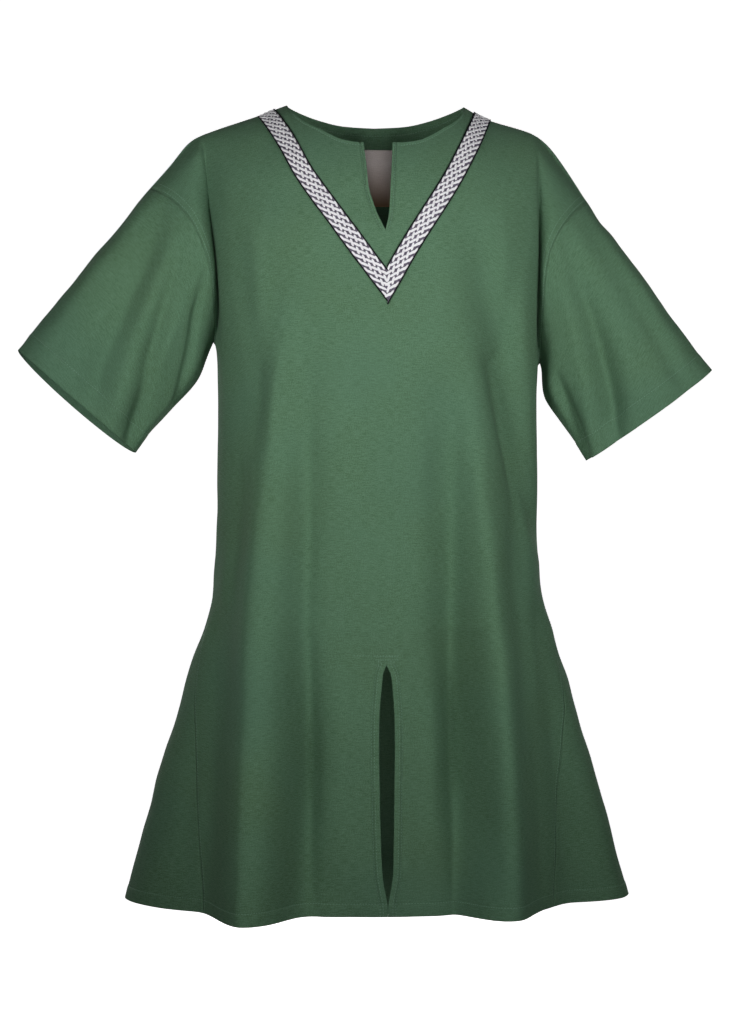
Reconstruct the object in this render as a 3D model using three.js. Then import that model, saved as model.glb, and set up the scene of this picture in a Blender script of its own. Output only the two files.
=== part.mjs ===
// Viking shirt, worn and filled out. Millimetres, +Z up, front towards -Y, the wearer's
// right side at -X. The origin lies midway between the two points where the shoulder
// seams meet the neckline. Each piece is cut cloth: a grid of points on the middle of
// the cloth, thickened to a closed wall. Neighbouring pieces share their seam points.
import * as THREE from 'three';

// ---- driving sizes ----
const CLOTH = 1.6; // thickness of every cloth wall
const BRAID = 1.0;
const LABEL = 0.8;
const SEAM = 0.45; // clear width between two pieces at a seam
const HEM_Z = -897;
const HIP_Z = -548; // top point of the side gores
const MIDDLE_UNDERARM_Z = -279; // centre line, level with the underarm points
const GORE_HALF_WIDTH = 160; // at the hem, from the side to either seam
const NECK_HALF = { left: 104, right: 98 };
const NECK_FULL = 104; // half width that the neckline tables are drawn for
const CROWN = 10; // height of the shoulder line carried on to the centre
const ROUND_FROM_Z = -170; // the chest starts to round over towards the shoulder here
const ROUND_POWER = 1.75;
const BACK_DROP = 46; // the back hangs this much lower at the middle of its hem
const CAP_WIDTH = 9; // cloth between the crease and the armhole seam at the underarm
const CAP_CROWN = 9; // how far that cloth swells outwards
const SECTION_STEPS = 96;
const INNER_POWER = 1.9; // folds are round towards the middle of the body
const OUTER_POWER = 1.4; // and more like a roof towards its side
const HEM_SLIT_SHARE = 3; // the hem slit moves the inner third of the panel
const SLIT_SPREAD = 70; // the neck slit opens the cloth beside it over this width
const SLIT_FADE = 1.5; // how soon that opening fades within it
const BRAID_WIDTH = 20;
const LABEL_SIZE = { wide: 50, high: 62, top: -38 };
const DRAWN_POWER = 1.5; // how close to the underside the sleeve is drawn in
const LEAST_SUM = 0.2; // limits on the set-back of edges where the cloth folds back
const LEAST_REACH = 0.3;
const MOST_STAND = 4;
const RELAX = 120; // columns even out over this height below the underarm

// ---- tables ----
// plain sections round the body, without folds
const BODY = [
  { z: -897, half: 286, front: 163, back: 160, square: 2.05 },
  { z: -760, half: 249, front: 150, back: 147, square: 2.05 },
  { z: -640, half: 213, front: 138, back: 134, square: 2.1 },
  { z: -545, half: 186, front: 130, back: 125, square: 2.15 },
  { z: -420, half: 182, front: 127, back: 120, square: 2.15 },
  { z: -300, half: 182, front: 128, back: 122, square: 2.2 },
  { z: -200, half: 189, front: 128, back: 126, square: 2.25 },
  { z: -100, half: 198, front: 126, back: 120, square: 2.3 },
  { z: 20, half: 215, front: 124, back: 116, square: 2.3 },
];

// shoulder line from the neck to the top of the armhole, `out` from the centre
const SHOULDER = {
  left: [
    { out: 104, z: 0 }, { out: 136, z: -12.5 }, { out: 190, z: -31 },
    { out: 214, z: -43 }, { out: 236, z: -70 }, { out: 258, z: -95 },
  ],
  right: [
    { out: 98, z: 0 }, { out: 122, z: -13 }, { out: 176, z: -29 },
    { out: 194, z: -41 }, { out: 211, z: -62 }, { out: 240, z: -106 },
  ],
};

// front neckline and back neckline, height under the neck points
const NECKLINE = {
  front: [
    { out: 0, z: -54 }, { out: 20, z: -53 }, { out: 40, z: -50 }, { out: 56, z: -44 },
    { out: 72, z: -35 }, { out: 88, z: -25 }, { out: 99, z: -13 }, { out: 104, z: 0 },
  ],
  back: [
    { out: 0, z: -17 }, { out: 40, z: -15 }, { out: 65, z: -10.5 }, { out: 85, z: -5.5 },
    { out: 104, z: 0 },
  ],
};

// how far each edge of the two slits stands off the centre line
const NECK_SLIT = [
  { z: -154, left: 0, right: 0 }, { z: -139, left: 7.6, right: 3.6 },
  { z: -123, left: 13, right: 5.2 }, { z: -106, left: 17.5, right: 6.4 },
  { z: -84, left: 19, right: 8 }, { z: -54, left: 21.5, right: 10.5 },
];
const HEM_SLIT = [
  { z: -897, left: 0.2, right: 0.2 }, { z: -886, left: 0.4, right: 0.4 },
  { z: -877, left: 1.6, right: 1.4 }, { z: -858, left: 5, right: 5 },
  { z: -838, left: 6.4, right: 6.2 }, { z: -779, left: 7.9, right: 7.5 },
  { z: -690, left: 8, right: 8.6 }, { z: -646, left: 4.4, right: 6 },
  { z: -635, left: 2.6, right: 3.8 }, { z: -629, left: 0, right: 0 },
];

// armhole seam from the underarm (up 0) to the shoulder line (up 1)
const ARMHOLE = {
  left: [
    { up: 0, out: 187, z: -268, deep: 0 }, { up: 0.12, out: 185.5, z: -250, deep: 22 },
    { up: 0.3, out: 188, z: -214, deep: 46 }, { up: 0.45, out: 192, z: -184, deep: 58 },
    { up: 0.62, out: 204, z: -152, deep: 62 }, { up: 0.75, out: 217, z: -130, deep: 56 },
    { up: 0.87, out: 235, z: -111, deep: 40 }, { up: 0.95, out: 249, z: -101, deep: 23 },
    { up: 1, out: 258, z: -95, deep: 0 },
  ],
  right: [
    { up: 0, out: 187, z: -290, deep: 0 }, { up: 0.12, out: 185.5, z: -271, deep: 20 },
    { up: 0.3, out: 184.5, z: -228, deep: 44 }, { up: 0.45, out: 186, z: -187, deep: 58 },
    { up: 0.62, out: 195, z: -158, deep: 62 }, { up: 0.75, out: 207, z: -138, deep: 56 },
    { up: 0.87, out: 221, z: -122, deep: 40 }, { up: 0.95, out: 232, z: -112, deep: 23 },
    { up: 1, out: 240, z: -106, deep: 0 },
  ],
};

// floor of the crease between body and sleeve, over the same rows
const CREASE = {
  left: [
    { up: 0, out: 184, deep: 9 }, { up: 0.12, out: 181, deep: 9 },
    { up: 0.3, out: 181, deep: 15 }, { up: 0.45, out: 185, deep: 25 },
    { up: 0.62, out: 191, deep: 33 }, { up: 0.8, out: 198, deep: 35 },
    { up: 0.92, out: 203, deep: 27 }, { up: 1, out: 208, deep: 0 },
  ],
  right: [
    { up: 0, out: 184, deep: 9 }, { up: 0.12, out: 181, deep: 13 },
    { up: 0.3, out: 180, deep: 28 }, { up: 0.45, out: 180, deep: 39 },
    { up: 0.62, out: 179, deep: 44 }, { up: 0.8, out: 179, deep: 42 },
    { up: 0.92, out: 181, deep: 31 }, { up: 1, out: 184, deep: 0 },
  ],
};

// cuff: top and bottom corner, half thickness, and how much lower the back edge hangs
const CUFF = {
  left: { top: [407, -279], bottom: [276, -393], half: 56, backLower: 8 },
  right: { top: [384, -299], bottom: [241, -402], half: 54, backLower: 5 },
};
// underside of the sleeve drawn in towards the body, by distance along the sleeve
const SLEEVE_IN = [
  { along: 0, left: 0, right: 0 }, { along: 0.15, left: 5.5, right: 4.5 },
  { along: 0.36, left: 13, right: 14 }, { along: 0.6, left: 8, right: 9 },
  { along: 0.85, left: 1.5, right: 3 }, { along: 1, left: 0, right: 0 },
];

// folds: from topZ, outTop off the centre, to the hem at outHem; bow bends the path
// outwards halfway; high is the height at the hem (below zero, a trough), mid the extra
// height halfway down; fade is how late it grows; wide is the half width, top and hem;
// lean makes the outer flank that much wider and the inner flank narrower
const FOLDS = [
  {
    face: 'front', side: -1, topZ: -215, outTop: 103, outHem: 138, bow: 8,
    high: 76, mid: 12, fade: 2.4, wideTop: 40, wideHem: 70, lean: 0.08,
  },
  {
    face: 'front', side: 1, topZ: -270, outTop: 84, outHem: 110, bow: 11,
    high: 66, mid: 10, fade: 2.1, wideTop: 34, wideHem: 56, lean: 0.28,
  },
  {
    face: 'front', side: 1, topZ: -560, outTop: 170, outHem: 226, bow: 0,
    high: -28, mid: 0, fade: 1.4, wideTop: 30, wideHem: 80, lean: 0,
  },
  {
    face: 'back', side: -1, topZ: -250, outTop: 70, outHem: 104, bow: 12,
    high: 58, mid: 5, fade: 2.2, wideTop: 24, wideHem: 46, lean: 0.2,
  },
  {
    face: 'back', side: 1, topZ: -270, outTop: 92, outHem: 122, bow: 10,
    high: 74, mid: 5, fade: 2.6, wideTop: 24, wideHem: 50, lean: 0,
  },
  {
    face: 'back', side: 1, topZ: -420, outTop: 8, outHem: 16, bow: 6,
    high: 8, mid: 3, fade: 1.5, wideTop: 24, wideHem: 46, lean: 0,
  },
  {
    face: 'back', side: -1, topZ: -580, outTop: 176, outHem: 222, bow: 0,
    high: -26, mid: 0, fade: 1.4, wideTop: 30, wideHem: 70, lean: 0,
  },
];

// centre line of the braid's legs, from above the shoulder seam to the mitred point
const BRAID_PATH = {
  left: [{ out: 137, z: 8 }, { out: 107, z: -49 }, { out: 86, z: -92 }, { out: 29, z: -174 }],
  right: [{ out: 127, z: 8 }, { out: 97.5, z: -54 }, { out: 74, z: -97 }, { out: 27.5, z: -170 }],
};
const BRAID_POINT = { x: 1.9, z: -215 };
const MITRE = 18; // half the height of the mitre

// columns and rows of the cloth grids
const CHEST_COLUMNS = 8; // centre to the lip of the crease
const NECK_COLUMNS = 5; // of those, under the neckline
const LIP_OFF = 9; // from the lip to the floor of the crease
const CAP_COLUMNS = 3; // from the floor of the crease to the armhole seam
const GORE_COLUMNS = 4; // from the side to either seam
const SKIRT_ROWS = [-897, -872, -842, -808, -770, -730, -690, -660, -629, -590, -548];
const BODY_ROWS = [0.17, 0.34, 0.51, 0.68, 0.84]; // hip to underarm
const SLIT_UP = 0.5556; // row that holds the foot of the neck slit
const UPPER_ROWS = [0, 0.06, 0.12, 0.21, 0.3, 0.38, 0.46, SLIT_UP, 0.65, 0.74, 0.82, 0.89, 0.95, 0.985, 1];
const SLEEVE_STEPS = 7;

// ---- arithmetic ----
const lerp = (a, b, t) => a + (b - a) * t;
const clamp = (t) => Math.min(1, Math.max(0, t));
const ease = (t) => clamp(t) * clamp(t) * (3 - 2 * clamp(t));
const sideName = (side) => (side < 0 ? 'left' : 'right');

// smooth reading of one column of a table, at a place along its key column
function read(rows, key, at, column) {
  const up = rows[rows.length - 1][key] > rows[0][key];
  let i = 0;
  while (i < rows.length - 2 && (up ? at > rows[i + 1][key] : at < rows[i + 1][key])) i += 1;
  const step = rows[i + 1][key] - rows[i][key];
  const slope = (k) => {
    const a = rows[Math.max(0, k - 1)];
    const b = rows[Math.min(rows.length - 1, k + 1)];
    return (b[column] - a[column]) / (b[key] - a[key]);
  };
  const t = clamp((at - rows[i][key]) / step);
  const rise = rows[i + 1][column] - rows[i][column];
  const from = slope(i) * step;
  const to = slope(i + 1) * step;
  const bend = t * (1 - t) * ((1 - t) * (from - rise) - t * (to - rise));
  return rows[i][column] + rise * t + bend;
}

// ---- form of the body ----
const sections = new Map();
// plain section at a height: its sizes and its arc length from the centre to the side
function section(face, z) {
  const name = `${face}${z}`;
  if (!sections.has(name)) {
    const half = read(BODY, 'z', z, 'half');
    const deep = read(BODY, 'z', z, face);
    const square = read(BODY, 'z', z, 'square');
    const points = [];
    let length = 0;
    for (let i = 0; i <= SECTION_STEPS; i += 1) {
      const angle = (Math.PI / 2) * (i / SECTION_STEPS);
      const x = half * Math.sin(angle) ** (2 / square);
      const d = deep * Math.max(0, Math.cos(angle)) ** (2 / square);
      if (i > 0) length += Math.hypot(x - points[i - 1].x, d - points[i - 1].d);
      points.push({ x, d, length });
    }
    sections.set(name, { half, deep, square, points, length });
  }
  return sections.get(name);
}

function onSection(cut, key, at) {
  const rows = cut.points;
  let i = 0;
  while (i < rows.length - 2 && rows[i + 1][key] < at) i += 1;
  const t = clamp((at - rows[i][key]) / (rows[i + 1][key] - rows[i][key]));
  const mix = (name) => lerp(rows[i][name], rows[i + 1][name], t);
  return { x: mix('x'), d: mix('d'), length: mix('length') };
}

// height of a fold's profile at a share of its half width, below zero on the inner flank
function profile(q) {
  const power = q > 0 ? OUTER_POWER : INNER_POWER;
  return (1 - Math.min(1, Math.abs(q)) ** power) ** 2;
}

// sum of all folds at a place: along the section on the given side of the centre
function foldHeight(face, side, z, cut, along) {
  let sum = 0;
  for (const fold of FOLDS) {
    if (fold.face !== face || z >= fold.topZ) continue;
    const t = (fold.topZ - z) / (fold.topZ - HEM_Z);
    const out = lerp(fold.outTop, fold.outHem, t) + fold.bow * 4 * t * (1 - t);
    const centre = onSection(cut, 'x', out).length;
    const wide = lerp(fold.wideTop, fold.wideHem, t);
    const high = fold.high * t ** fold.fade + fold.mid * Math.sin(Math.PI * t);
    const off = along * side * fold.side - centre;
    sum += high * profile(off / (wide * (1 + fold.lean * Math.sign(off))));
  }
  return sum;
}

// how far the back hangs lower than the front
function hemDrop(face, x, z) {
  if (face === 'front') return 0;
  const low = clamp((HIP_Z - z) / (HIP_Z - HEM_Z));
  return BACK_DROP * low * ease(1 - x / BODY[0].half);
}

function place(face, side, x, d, z) {
  return new THREE.Vector3(side * x, face === 'front' ? -d : d, z);
}

// point of the body below the underarm, `along` the section from the centre
function bodyPoint(face, side, z, along) {
  const cut = section(face, z);
  const at = onSection(cut, 'length', along);
  const nx = (at.x / cut.half) ** (cut.square - 1) / cut.half;
  const nd = (at.d / cut.deep) ** (cut.square - 1) / cut.deep;
  const size = Math.hypot(nx, nd);
  const high = foldHeight(face, side, z, cut, along);
  const lowZ = z - hemDrop(face, at.x, z);
  return place(face, side, at.x + (high * nx) / size, at.d + (high * nd) / size, lowZ);
}

function shoulderZ(side, out) {
  const neck = NECK_HALF[sideName(side)];
  if (out < neck) return CROWN * (1 - (out / neck) ** 2);
  return read(SHOULDER[sideName(side)], 'out', out, 'z');
}

// depth of the chest or the shoulder blades at a place seen from the front
function chestDepth(face, side, out, z) {
  const cut = section(face, z);
  const flat = cut.deep * Math.max(0, 1 - (out / cut.half) ** cut.square) ** (1 / cut.square);
  const top = shoulderZ(side, out);
  const t = clamp((z - ROUND_FROM_Z) / (top - ROUND_FROM_Z));
  const high = foldHeight(face, side, z, cut, onSection(cut, 'x', out).length);
  return flat * (1 - t ** ROUND_POWER) ** (1 / ROUND_POWER) + high;
}

function slitOff(table, side, z) {
  const foot = table === NECK_SLIT ? z < table[0].z : z > table[table.length - 1].z;
  return foot ? 0 : read(table, 'z', z, sideName(side));
}

// chest columns: where each one stands off the centre at the underarm row and at the top
function chestColumn(side, share) {
  const name = sideName(side);
  const lipLow = CREASE[name][0].out - LIP_OFF;
  const lipTop = CREASE[name][CREASE[name].length - 1].out - LIP_OFF;
  const low = lipLow * share;
  const neckShare = NECK_COLUMNS / CHEST_COLUMNS;
  if (share <= neckShare) return { low, top: (NECK_HALF[name] * share) / neckShare };
  return { low, top: lerp(NECK_HALF[name], lipTop, (share - neckShare) / (1 - neckShare)) };
}

// point of the chest between the underarm row and the neckline or shoulder
function chestPoint(face, side, share, up) {
  const column = chestColumn(side, share);
  const plain = lerp(column.low, column.top, up);
  const neck = NECK_HALF[sideName(side)];
  const topZ = column.top < neck
    ? read(NECKLINE[face], 'out', (column.top * NECK_FULL) / neck, 'z')
    : shoulderZ(side, column.top);
  const lowZ = lerp(MIDDLE_UNDERARM_Z, ARMHOLE[sideName(side)][0].z, share ** 2);
  const z = lerp(lowZ, topZ, up);
  let out = plain;
  if (face === 'front' && up > SLIT_UP) {
    out += slitOff(NECK_SLIT, side, z) * clamp(1 - plain / SLIT_SPREAD) ** SLIT_FADE;
  }
  return place(face, side, out, chestDepth(face, side, out, z), z);
}

// point beyond the lip: down the crease, up its far wall and out to the armhole seam
function capPoint(face, side, share, up) {
  const name = sideName(side);
  const seam = ARMHOLE[name];
  const crease = CREASE[name];
  const top = crease[crease.length - 1];
  const floorZ = lerp(seam[0].z, shoulderZ(side, top.out), up);
  const edgeZ = read(seam, 'up', up, 'z');
  const floor = place(face, side, read(crease, 'up', up, 'out'), read(crease, 'up', up, 'deep'), floorZ);
  const edge = place(face, side, read(seam, 'up', up, 'out'), read(seam, 'up', up, 'deep'), edgeZ);
  const crown = up >= 1 ? 0 : CAP_CROWN * Math.sin(Math.PI * up) * Math.sin(Math.PI * share);
  const point = floor.lerp(edge, share);
  if (up >= 1) point.z = shoulderZ(side, Math.abs(point.x));
  point.y += face === 'front' ? -crown : crown;
  return point;
}

// ---- grids: lists of rows of points, the same rows on neighbouring pieces ----
const halfColumns = CHEST_COLUMNS + CAP_COLUMNS + 1;

// shares of the section at the underarm, by column
function underarmShares(face, side) {
  const z = ARMHOLE[sideName(side)][0].z;
  const cut = section(face, z);
  const shares = [];
  for (let c = 0; c <= halfColumns; c += 1) {
    const point = upperPoint(face, side, c, 0);
    const at = c > CHEST_COLUMNS
      ? cut.length - (halfColumns - c) * (CAP_WIDTH / CAP_COLUMNS)
      : onSection(cut, 'x', Math.abs(point.x)).length;
    shares.push(at / cut.length);
  }
  return shares;
}

function upperPoint(face, side, column, up) {
  if (column <= CHEST_COLUMNS) return chestPoint(face, side, column / CHEST_COLUMNS, up);
  return capPoint(face, side, (column - CHEST_COLUMNS - 1) / CAP_COLUMNS, up);
}

function lowerPoint(face, side, column, z, shares) {
  const cut = section(face, z);
  const gore = GORE_HALF_WIDTH * clamp((HIP_Z - z) / (HIP_Z - HEM_Z));
  const even = column / halfColumns;
  const settled = ease((ARMHOLE[sideName(side)][0].z - z) / RELAX);
  const share = lerp(shares[column], even, settled);
  const point = bodyPoint(face, side, z, share * (cut.length - gore));
  if (face === 'front') {
    const off = slitOff(HEM_SLIT, side, z) * clamp(1 - even * HEM_SLIT_SHARE);
    point.x += side * off;
  }
  return point;
}

// one half panel, from the centre line outwards; rows from the hem to the top
function halfPanel(face, side) {
  const shares = underarmShares(face, side);
  const sideZ = ARMHOLE[sideName(side)][0].z;
  const rows = [];
  const addLow = (rise) => {
    const row = [];
    for (let c = 0; c <= halfColumns; c += 1) {
      const reach = (c / halfColumns) ** 2;
      const top = lerp(MIDDLE_UNDERARM_Z, sideZ, reach);
      row.push(lowerPoint(face, side, c, lerp(HIP_Z, top, rise), shares));
    }
    rows.push(row);
  };
  for (const z of SKIRT_ROWS) {
    const row = [];
    for (let c = 0; c <= halfColumns; c += 1) row.push(lowerPoint(face, side, c, z, shares));
    rows.push(row);
  }
  BODY_ROWS.forEach(addLow);
  for (const up of UPPER_ROWS) {
    const row = [];
    for (let c = 0; c <= halfColumns; c += 1) row.push(upperPoint(face, side, c, up));
    rows.push(row);
  }
  return rows;
}

function goreGrid(side) {
  return SKIRT_ROWS.map((z) => {
    const width = GORE_HALF_WIDTH * clamp((HIP_Z - z) / (HIP_Z - HEM_Z));
    const row = [];
    for (let c = -GORE_COLUMNS; c <= GORE_COLUMNS; c += 1) {
      const face = c < 0 ? 'front' : 'back';
      const along = section(face, z).length - (width * Math.abs(c)) / GORE_COLUMNS;
      row.push(bodyPoint(face, side, z, along));
    }
    return row;
  });
}

// armhole ring: from the shoulder down the front to the underarm, up the back
function armholeRing(panels, side) {
  const count = UPPER_ROWS.length;
  const edge = (face) => panels[face][sideName(side)].slice(-count).map((row) => row[halfColumns]);
  const ring = edge('front').reverse();
  return ring.concat(edge('back').slice(1, -1));
}

function sleeveGrid(panels, side) {
  const ring = armholeRing(panels, side);
  const cuff = CUFF[sideName(side)];
  const half = ring.length / 2;
  const corner = (pair) => new THREE.Vector3(side * pair[0], 0, pair[1]);
  const top = corner(cuff.top);
  const bottom = corner(cuff.bottom);
  const centre = top.clone().lerp(bottom, 0.5);
  const upward = top.clone().sub(bottom).multiplyScalar(0.5);
  const axis = new THREE.Vector3(-upward.z, 0, upward.x).normalize().multiplyScalar(-side);
  if (axis.z > 0) axis.negate();
  const lengths = [0];
  for (let i = 1; i <= ring.length; i += 1) {
    lengths.push(lengths[i - 1] + ring[i % ring.length].distanceTo(ring[i - 1]));
  }
  const angleAt = (i) => {
    if (i <= half) return (Math.PI * lengths[i]) / lengths[half];
    const rest = (lengths[i] - lengths[half]) / (lengths[ring.length] - lengths[half]);
    return Math.PI * (1 + rest);
  };
  const rows = [];
  for (let s = 0; s <= SLEEVE_STEPS; s += 1) {
    const along = s / SLEEVE_STEPS;
    const drawn = read(SLEEVE_IN, 'along', along, sideName(side));
    rows.push(ring.map((start, i) => {
      const angle = angleAt(i);
      const end = centre.clone().addScaledVector(upward, Math.cos(angle));
      end.y -= cuff.half * Math.sin(angle);
      end.addScaledVector(axis, cuff.backLower * Math.max(0, -Math.sin(angle)));
      const point = start.clone().lerp(end, along);
      point.x -= side * drawn * clamp(-Math.cos(angle)) ** DRAWN_POWER;
      return point;
    }));
  }
  return rows;
}

// ---- cloth from grids ----
const keyOf = (p) => `${p.x.toFixed(2)},${p.y.toFixed(2)},${p.z.toFixed(2)}`;

// faces of a set of grids that share points; tubes close on themselves
function weave(grids, closed) {
  const points = [];
  const seen = new Map();
  const index = (p) => {
    const key = keyOf(p);
    if (!seen.has(key)) {
      seen.set(key, points.length);
      points.push(p);
    }
    return seen.get(key);
  };
  const faces = [];
  for (const { rows, flip } of grids) {
    for (let r = 0; r + 1 < rows.length; r += 1) {
      const width = rows[r].length;
      for (let c = 0; c < (closed ? width : width - 1); c += 1) {
        const n = (c + 1) % width;
        const corners = [rows[r][c], rows[r][n], rows[r + 1][n], rows[r + 1][c]].map(index);
        const kept = corners.filter((v, k) => v !== corners[(k + 3) % 4]);
        if (kept.length > 2) faces.push(flip ? kept.reverse() : kept);
      }
    }
  }
  return { points, faces };
}

function faceNormal(points, face) {
  const normal = new THREE.Vector3();
  for (let k = 1; k + 1 < face.length; k += 1) {
    const a = points[face[k]].clone().sub(points[face[0]]);
    const b = points[face[k + 1]].clone().sub(points[face[0]]);
    normal.add(a.cross(b));
  }
  return normal;
}

// mean normal at every point of all pieces, so that both sides of a seam agree; `sharp`
// is 1 on flat cloth and grows where the cloth folds back on itself
function sharedNormals(sheets) {
  const normals = new Map();
  for (const sheet of sheets) {
    for (const face of sheet.faces) {
      const normal = faceNormal(sheet.points, face).normalize();
      for (const v of face) {
        const key = keyOf(sheet.points[v]);
        if (!normals.has(key)) normals.set(key, { sum: new THREE.Vector3(), count: 0 });
        normals.get(key).sum.add(normal);
        normals.get(key).count += 1;
      }
    }
  }
  const means = new Map();
  for (const [key, { sum, count }] of normals) {
    const mean = sum.clone().normalize();
    mean.sharp = count / Math.max(sum.length(), LEAST_SUM * count);
    means.set(key, mean);
  }
  return means;
}

function boundaryEdges(faces) {
  const edges = new Map();
  for (const face of faces) {
    face.forEach((from, k) => {
      const to = face[(k + 1) % face.length];
      const back = `${to},${from}`;
      if (edges.has(back)) edges.delete(back);
      else edges.set(`${from},${to}`, [from, to]);
    });
  }
  return [...edges.values()];
}

// closed wall of the given thickness; its edges stand back half a seam
function wall(sheet, normals, thickness) {
  const { points, faces } = sheet;
  const edges = boundaryEdges(faces);
  const normal = points.map((p) => normals.get(keyOf(p)));
  const inward = new Map();
  for (const [from, to] of edges) {
    const along = points[to].clone().sub(points[from]);
    const inside = normal[from].clone().add(normal[to]).cross(along).normalize();
    for (const v of [from, to]) {
      if (!inward.has(v)) inward.set(v, []);
      inward.get(v).push(inside);
    }
  }
  const moved = points.map((p, v) => {
    if (!inward.has(v)) return p.clone();
    const sum = inward.get(v).reduce((a, b) => a.clone().add(b), new THREE.Vector3()).normalize();
    const reach = Math.max(LEAST_REACH, sum.dot(inward.get(v)[0]));
    const stand = (SEAM / 2) * Math.min(MOST_STAND, (normal[v].sharp || 1) ** 2);
    return p.clone().addScaledVector(sum, stand / reach);
  });
  const outer = moved.map((p, v) => p.clone().addScaledVector(normal[v], thickness / 2));
  const inner = moved.map((p, v) => p.clone().addScaledVector(normal[v], -thickness / 2));
  const vertices = [...outer, ...inner].flatMap((p) => [p.x, p.y, p.z]);
  const triangles = [];
  const shift = points.length;
  for (const face of faces) {
    for (let k = 1; k + 1 < face.length; k += 1) {
      triangles.push(face[0], face[k], face[k + 1]);
      triangles.push(face[0] + shift, face[k + 1] + shift, face[k] + shift);
    }
  }
  for (const [from, to] of edges) {
    triangles.push(from, from + shift, to + shift, from, to + shift, to);
  }
  const geometry = new THREE.BufferGeometry();
  geometry.setAttribute('position', new THREE.Float32BufferAttribute(vertices, 3));
  geometry.setIndex(triangles);
  return geometry;
}

// part of a polygon on the inner side of a line, seen from the front
function clipLine(polygon, from, to) {
  const side = (p) => (to.x - from.x) * (p.z - from.z) - (to.z - from.z) * (p.x - from.x);
  const kept = [];
  polygon.forEach((p, k) => {
    const next = polygon[(k + 1) % polygon.length];
    const here = side(p);
    const there = side(next);
    if (here >= 0) kept.push(p);
    if (here >= 0 !== there >= 0) {
      const t = here / (here - there);
      kept.push({
        x: lerp(p.x, next.x, t),
        z: lerp(p.z, next.z, t),
        base: p.base.clone().lerp(next.base, t),
        normal: p.normal.clone().lerp(next.normal, t),
      });
    }
  });
  return kept;
}

// cloth laid on a panel: the panel's own facets, cut to convex outlines seen from the
// front (anticlockwise) and moved off its middle by `lift`
function layOn(sheet, normals, outlines, lift) {
  const points = [];
  const lifted = new Map();
  const seen = new Map();
  const faces = [];
  const index = (p) => {
    const key = keyOf(p.base);
    if (!seen.has(key)) {
      const point = p.base.clone().addScaledVector(p.normal, lift);
      seen.set(key, points.length);
      points.push(point);
      lifted.set(keyOf(point), p.normal);
    }
    return seen.get(key);
  };
  for (const face of sheet.faces) {
    for (let k = 1; k + 1 < face.length; k += 1) {
      const triangle = [face[0], face[k], face[k + 1]].map((v) => {
        const base = sheet.points[v];
        return { x: base.x, z: base.z, base, normal: normals.get(keyOf(base)) };
      });
      for (const outline of outlines) {
        let polygon = triangle;
        outline.forEach((from, i) => {
          if (polygon.length > 2) polygon = clipLine(polygon, from, outline[(i + 1) % outline.length]);
        });
        const loop = polygon.length > 2 ? polygon.map(index) : [];
        const kept = loop.filter((v, i) => v !== loop[(i + loop.length - 1) % loop.length]);
        if (kept.length > 2) faces.push(kept);
      }
    }
  }
  return { sheet: { points, faces }, normals: lifted };
}

// outlines of the braid: one for each stretch of each leg, mitred at the point
function braidOutlines() {
  const outlines = [];
  const { x, z } = BRAID_POINT;
  const tip = { low: { x, z: z - MITRE }, high: { x, z: z + MITRE } };
  for (const side of [-1, 1]) {
    const path = BRAID_PATH[sideName(side)].map(({ out, z }) => ({ x: side * out, z }));
    const cross = path.map((here, k) => {
      const from = path[Math.max(0, k - 1)];
      const to = path[k + 1] || BRAID_POINT;
      const size = BRAID_WIDTH / 2 / Math.hypot(to.x - from.x, to.z - from.z);
      const off = { x: size * (from.z - to.z), z: size * (to.x - from.x) };
      const pair = [{ x: here.x - off.x, z: here.z - off.z }, { x: here.x + off.x, z: here.z + off.z }];
      return side < 0 ? { low: pair[0], high: pair[1] } : { low: pair[1], high: pair[0] };
    });
    const ends = [...cross, tip];
    for (let k = 0; k + 1 < ends.length; k += 1) {
      const loop = [ends[k].low, ends[k + 1].low, ends[k + 1].high, ends[k].high];
      outlines.push(side < 0 ? loop : loop.reverse());
    }
  }
  return outlines;
}

function labelOutline() {
  const { wide, high, top } = LABEL_SIZE;
  const corner = (x, z) => ({ x, z });
  const low = top - high;
  return [corner(-wide / 2, low), corner(wide / 2, low), corner(wide / 2, top), corner(-wide / 2, top)];
}

// ---- assembly ----
const panels = {};
for (const face of ['front', 'back']) {
  panels[face] = { left: halfPanel(face, -1), right: halfPanel(face, 1) };
}

const sheets = {
  front: weave([{ rows: panels.front.left, flip: true }, { rows: panels.front.right, flip: false }], false),
  back: weave([{ rows: panels.back.left, flip: false }, { rows: panels.back.right, flip: true }], false),
  sleeve_left: weave([{ rows: sleeveGrid(panels, -1), flip: true }], true),
  sleeve_right: weave([{ rows: sleeveGrid(panels, 1), flip: false }], true),
  gore_left: weave([{ rows: goreGrid(-1), flip: true }], false),
  gore_right: weave([{ rows: goreGrid(1), flip: false }], false),
};
const normals = sharedNormals(Object.values(sheets));

const MATERIALS = {
  cloth: { color: 0x4f6f57, roughness: 0.9, metalness: 0 },
  gore: { color: 0x47654f, roughness: 0.9, metalness: 0 },
  braid: { color: 0xd9d8dc, roughness: 0.75, metalness: 0 },
  label: { color: 0xcdbfb8, roughness: 0.8, metalness: 0 },
};

const shirt = new THREE.Group();
function addPiece(name, geometry, finish) {
  const mesh = new THREE.Mesh(geometry, new THREE.MeshStandardMaterial(MATERIALS[finish]));
  mesh.name = name;
  shirt.add(mesh);
}

for (const [name, sheet] of Object.entries(sheets)) {
  addPiece(name, wall(sheet, normals, CLOTH), name.startsWith('gore') ? 'gore' : 'cloth');
}

const braid = layOn(sheets.front, normals, braidOutlines(), CLOTH / 2 + SEAM + BRAID / 2);
addPiece('neck_braid', wall(braid.sheet, braid.normals, BRAID), 'braid');
const label = layOn(sheets.back, normals, [labelOutline()], -(CLOTH / 2 + SEAM + LABEL / 2));
addPiece('neck_label', wall(label.sheet, label.normals, LABEL), 'label');

export default shirt;
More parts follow.
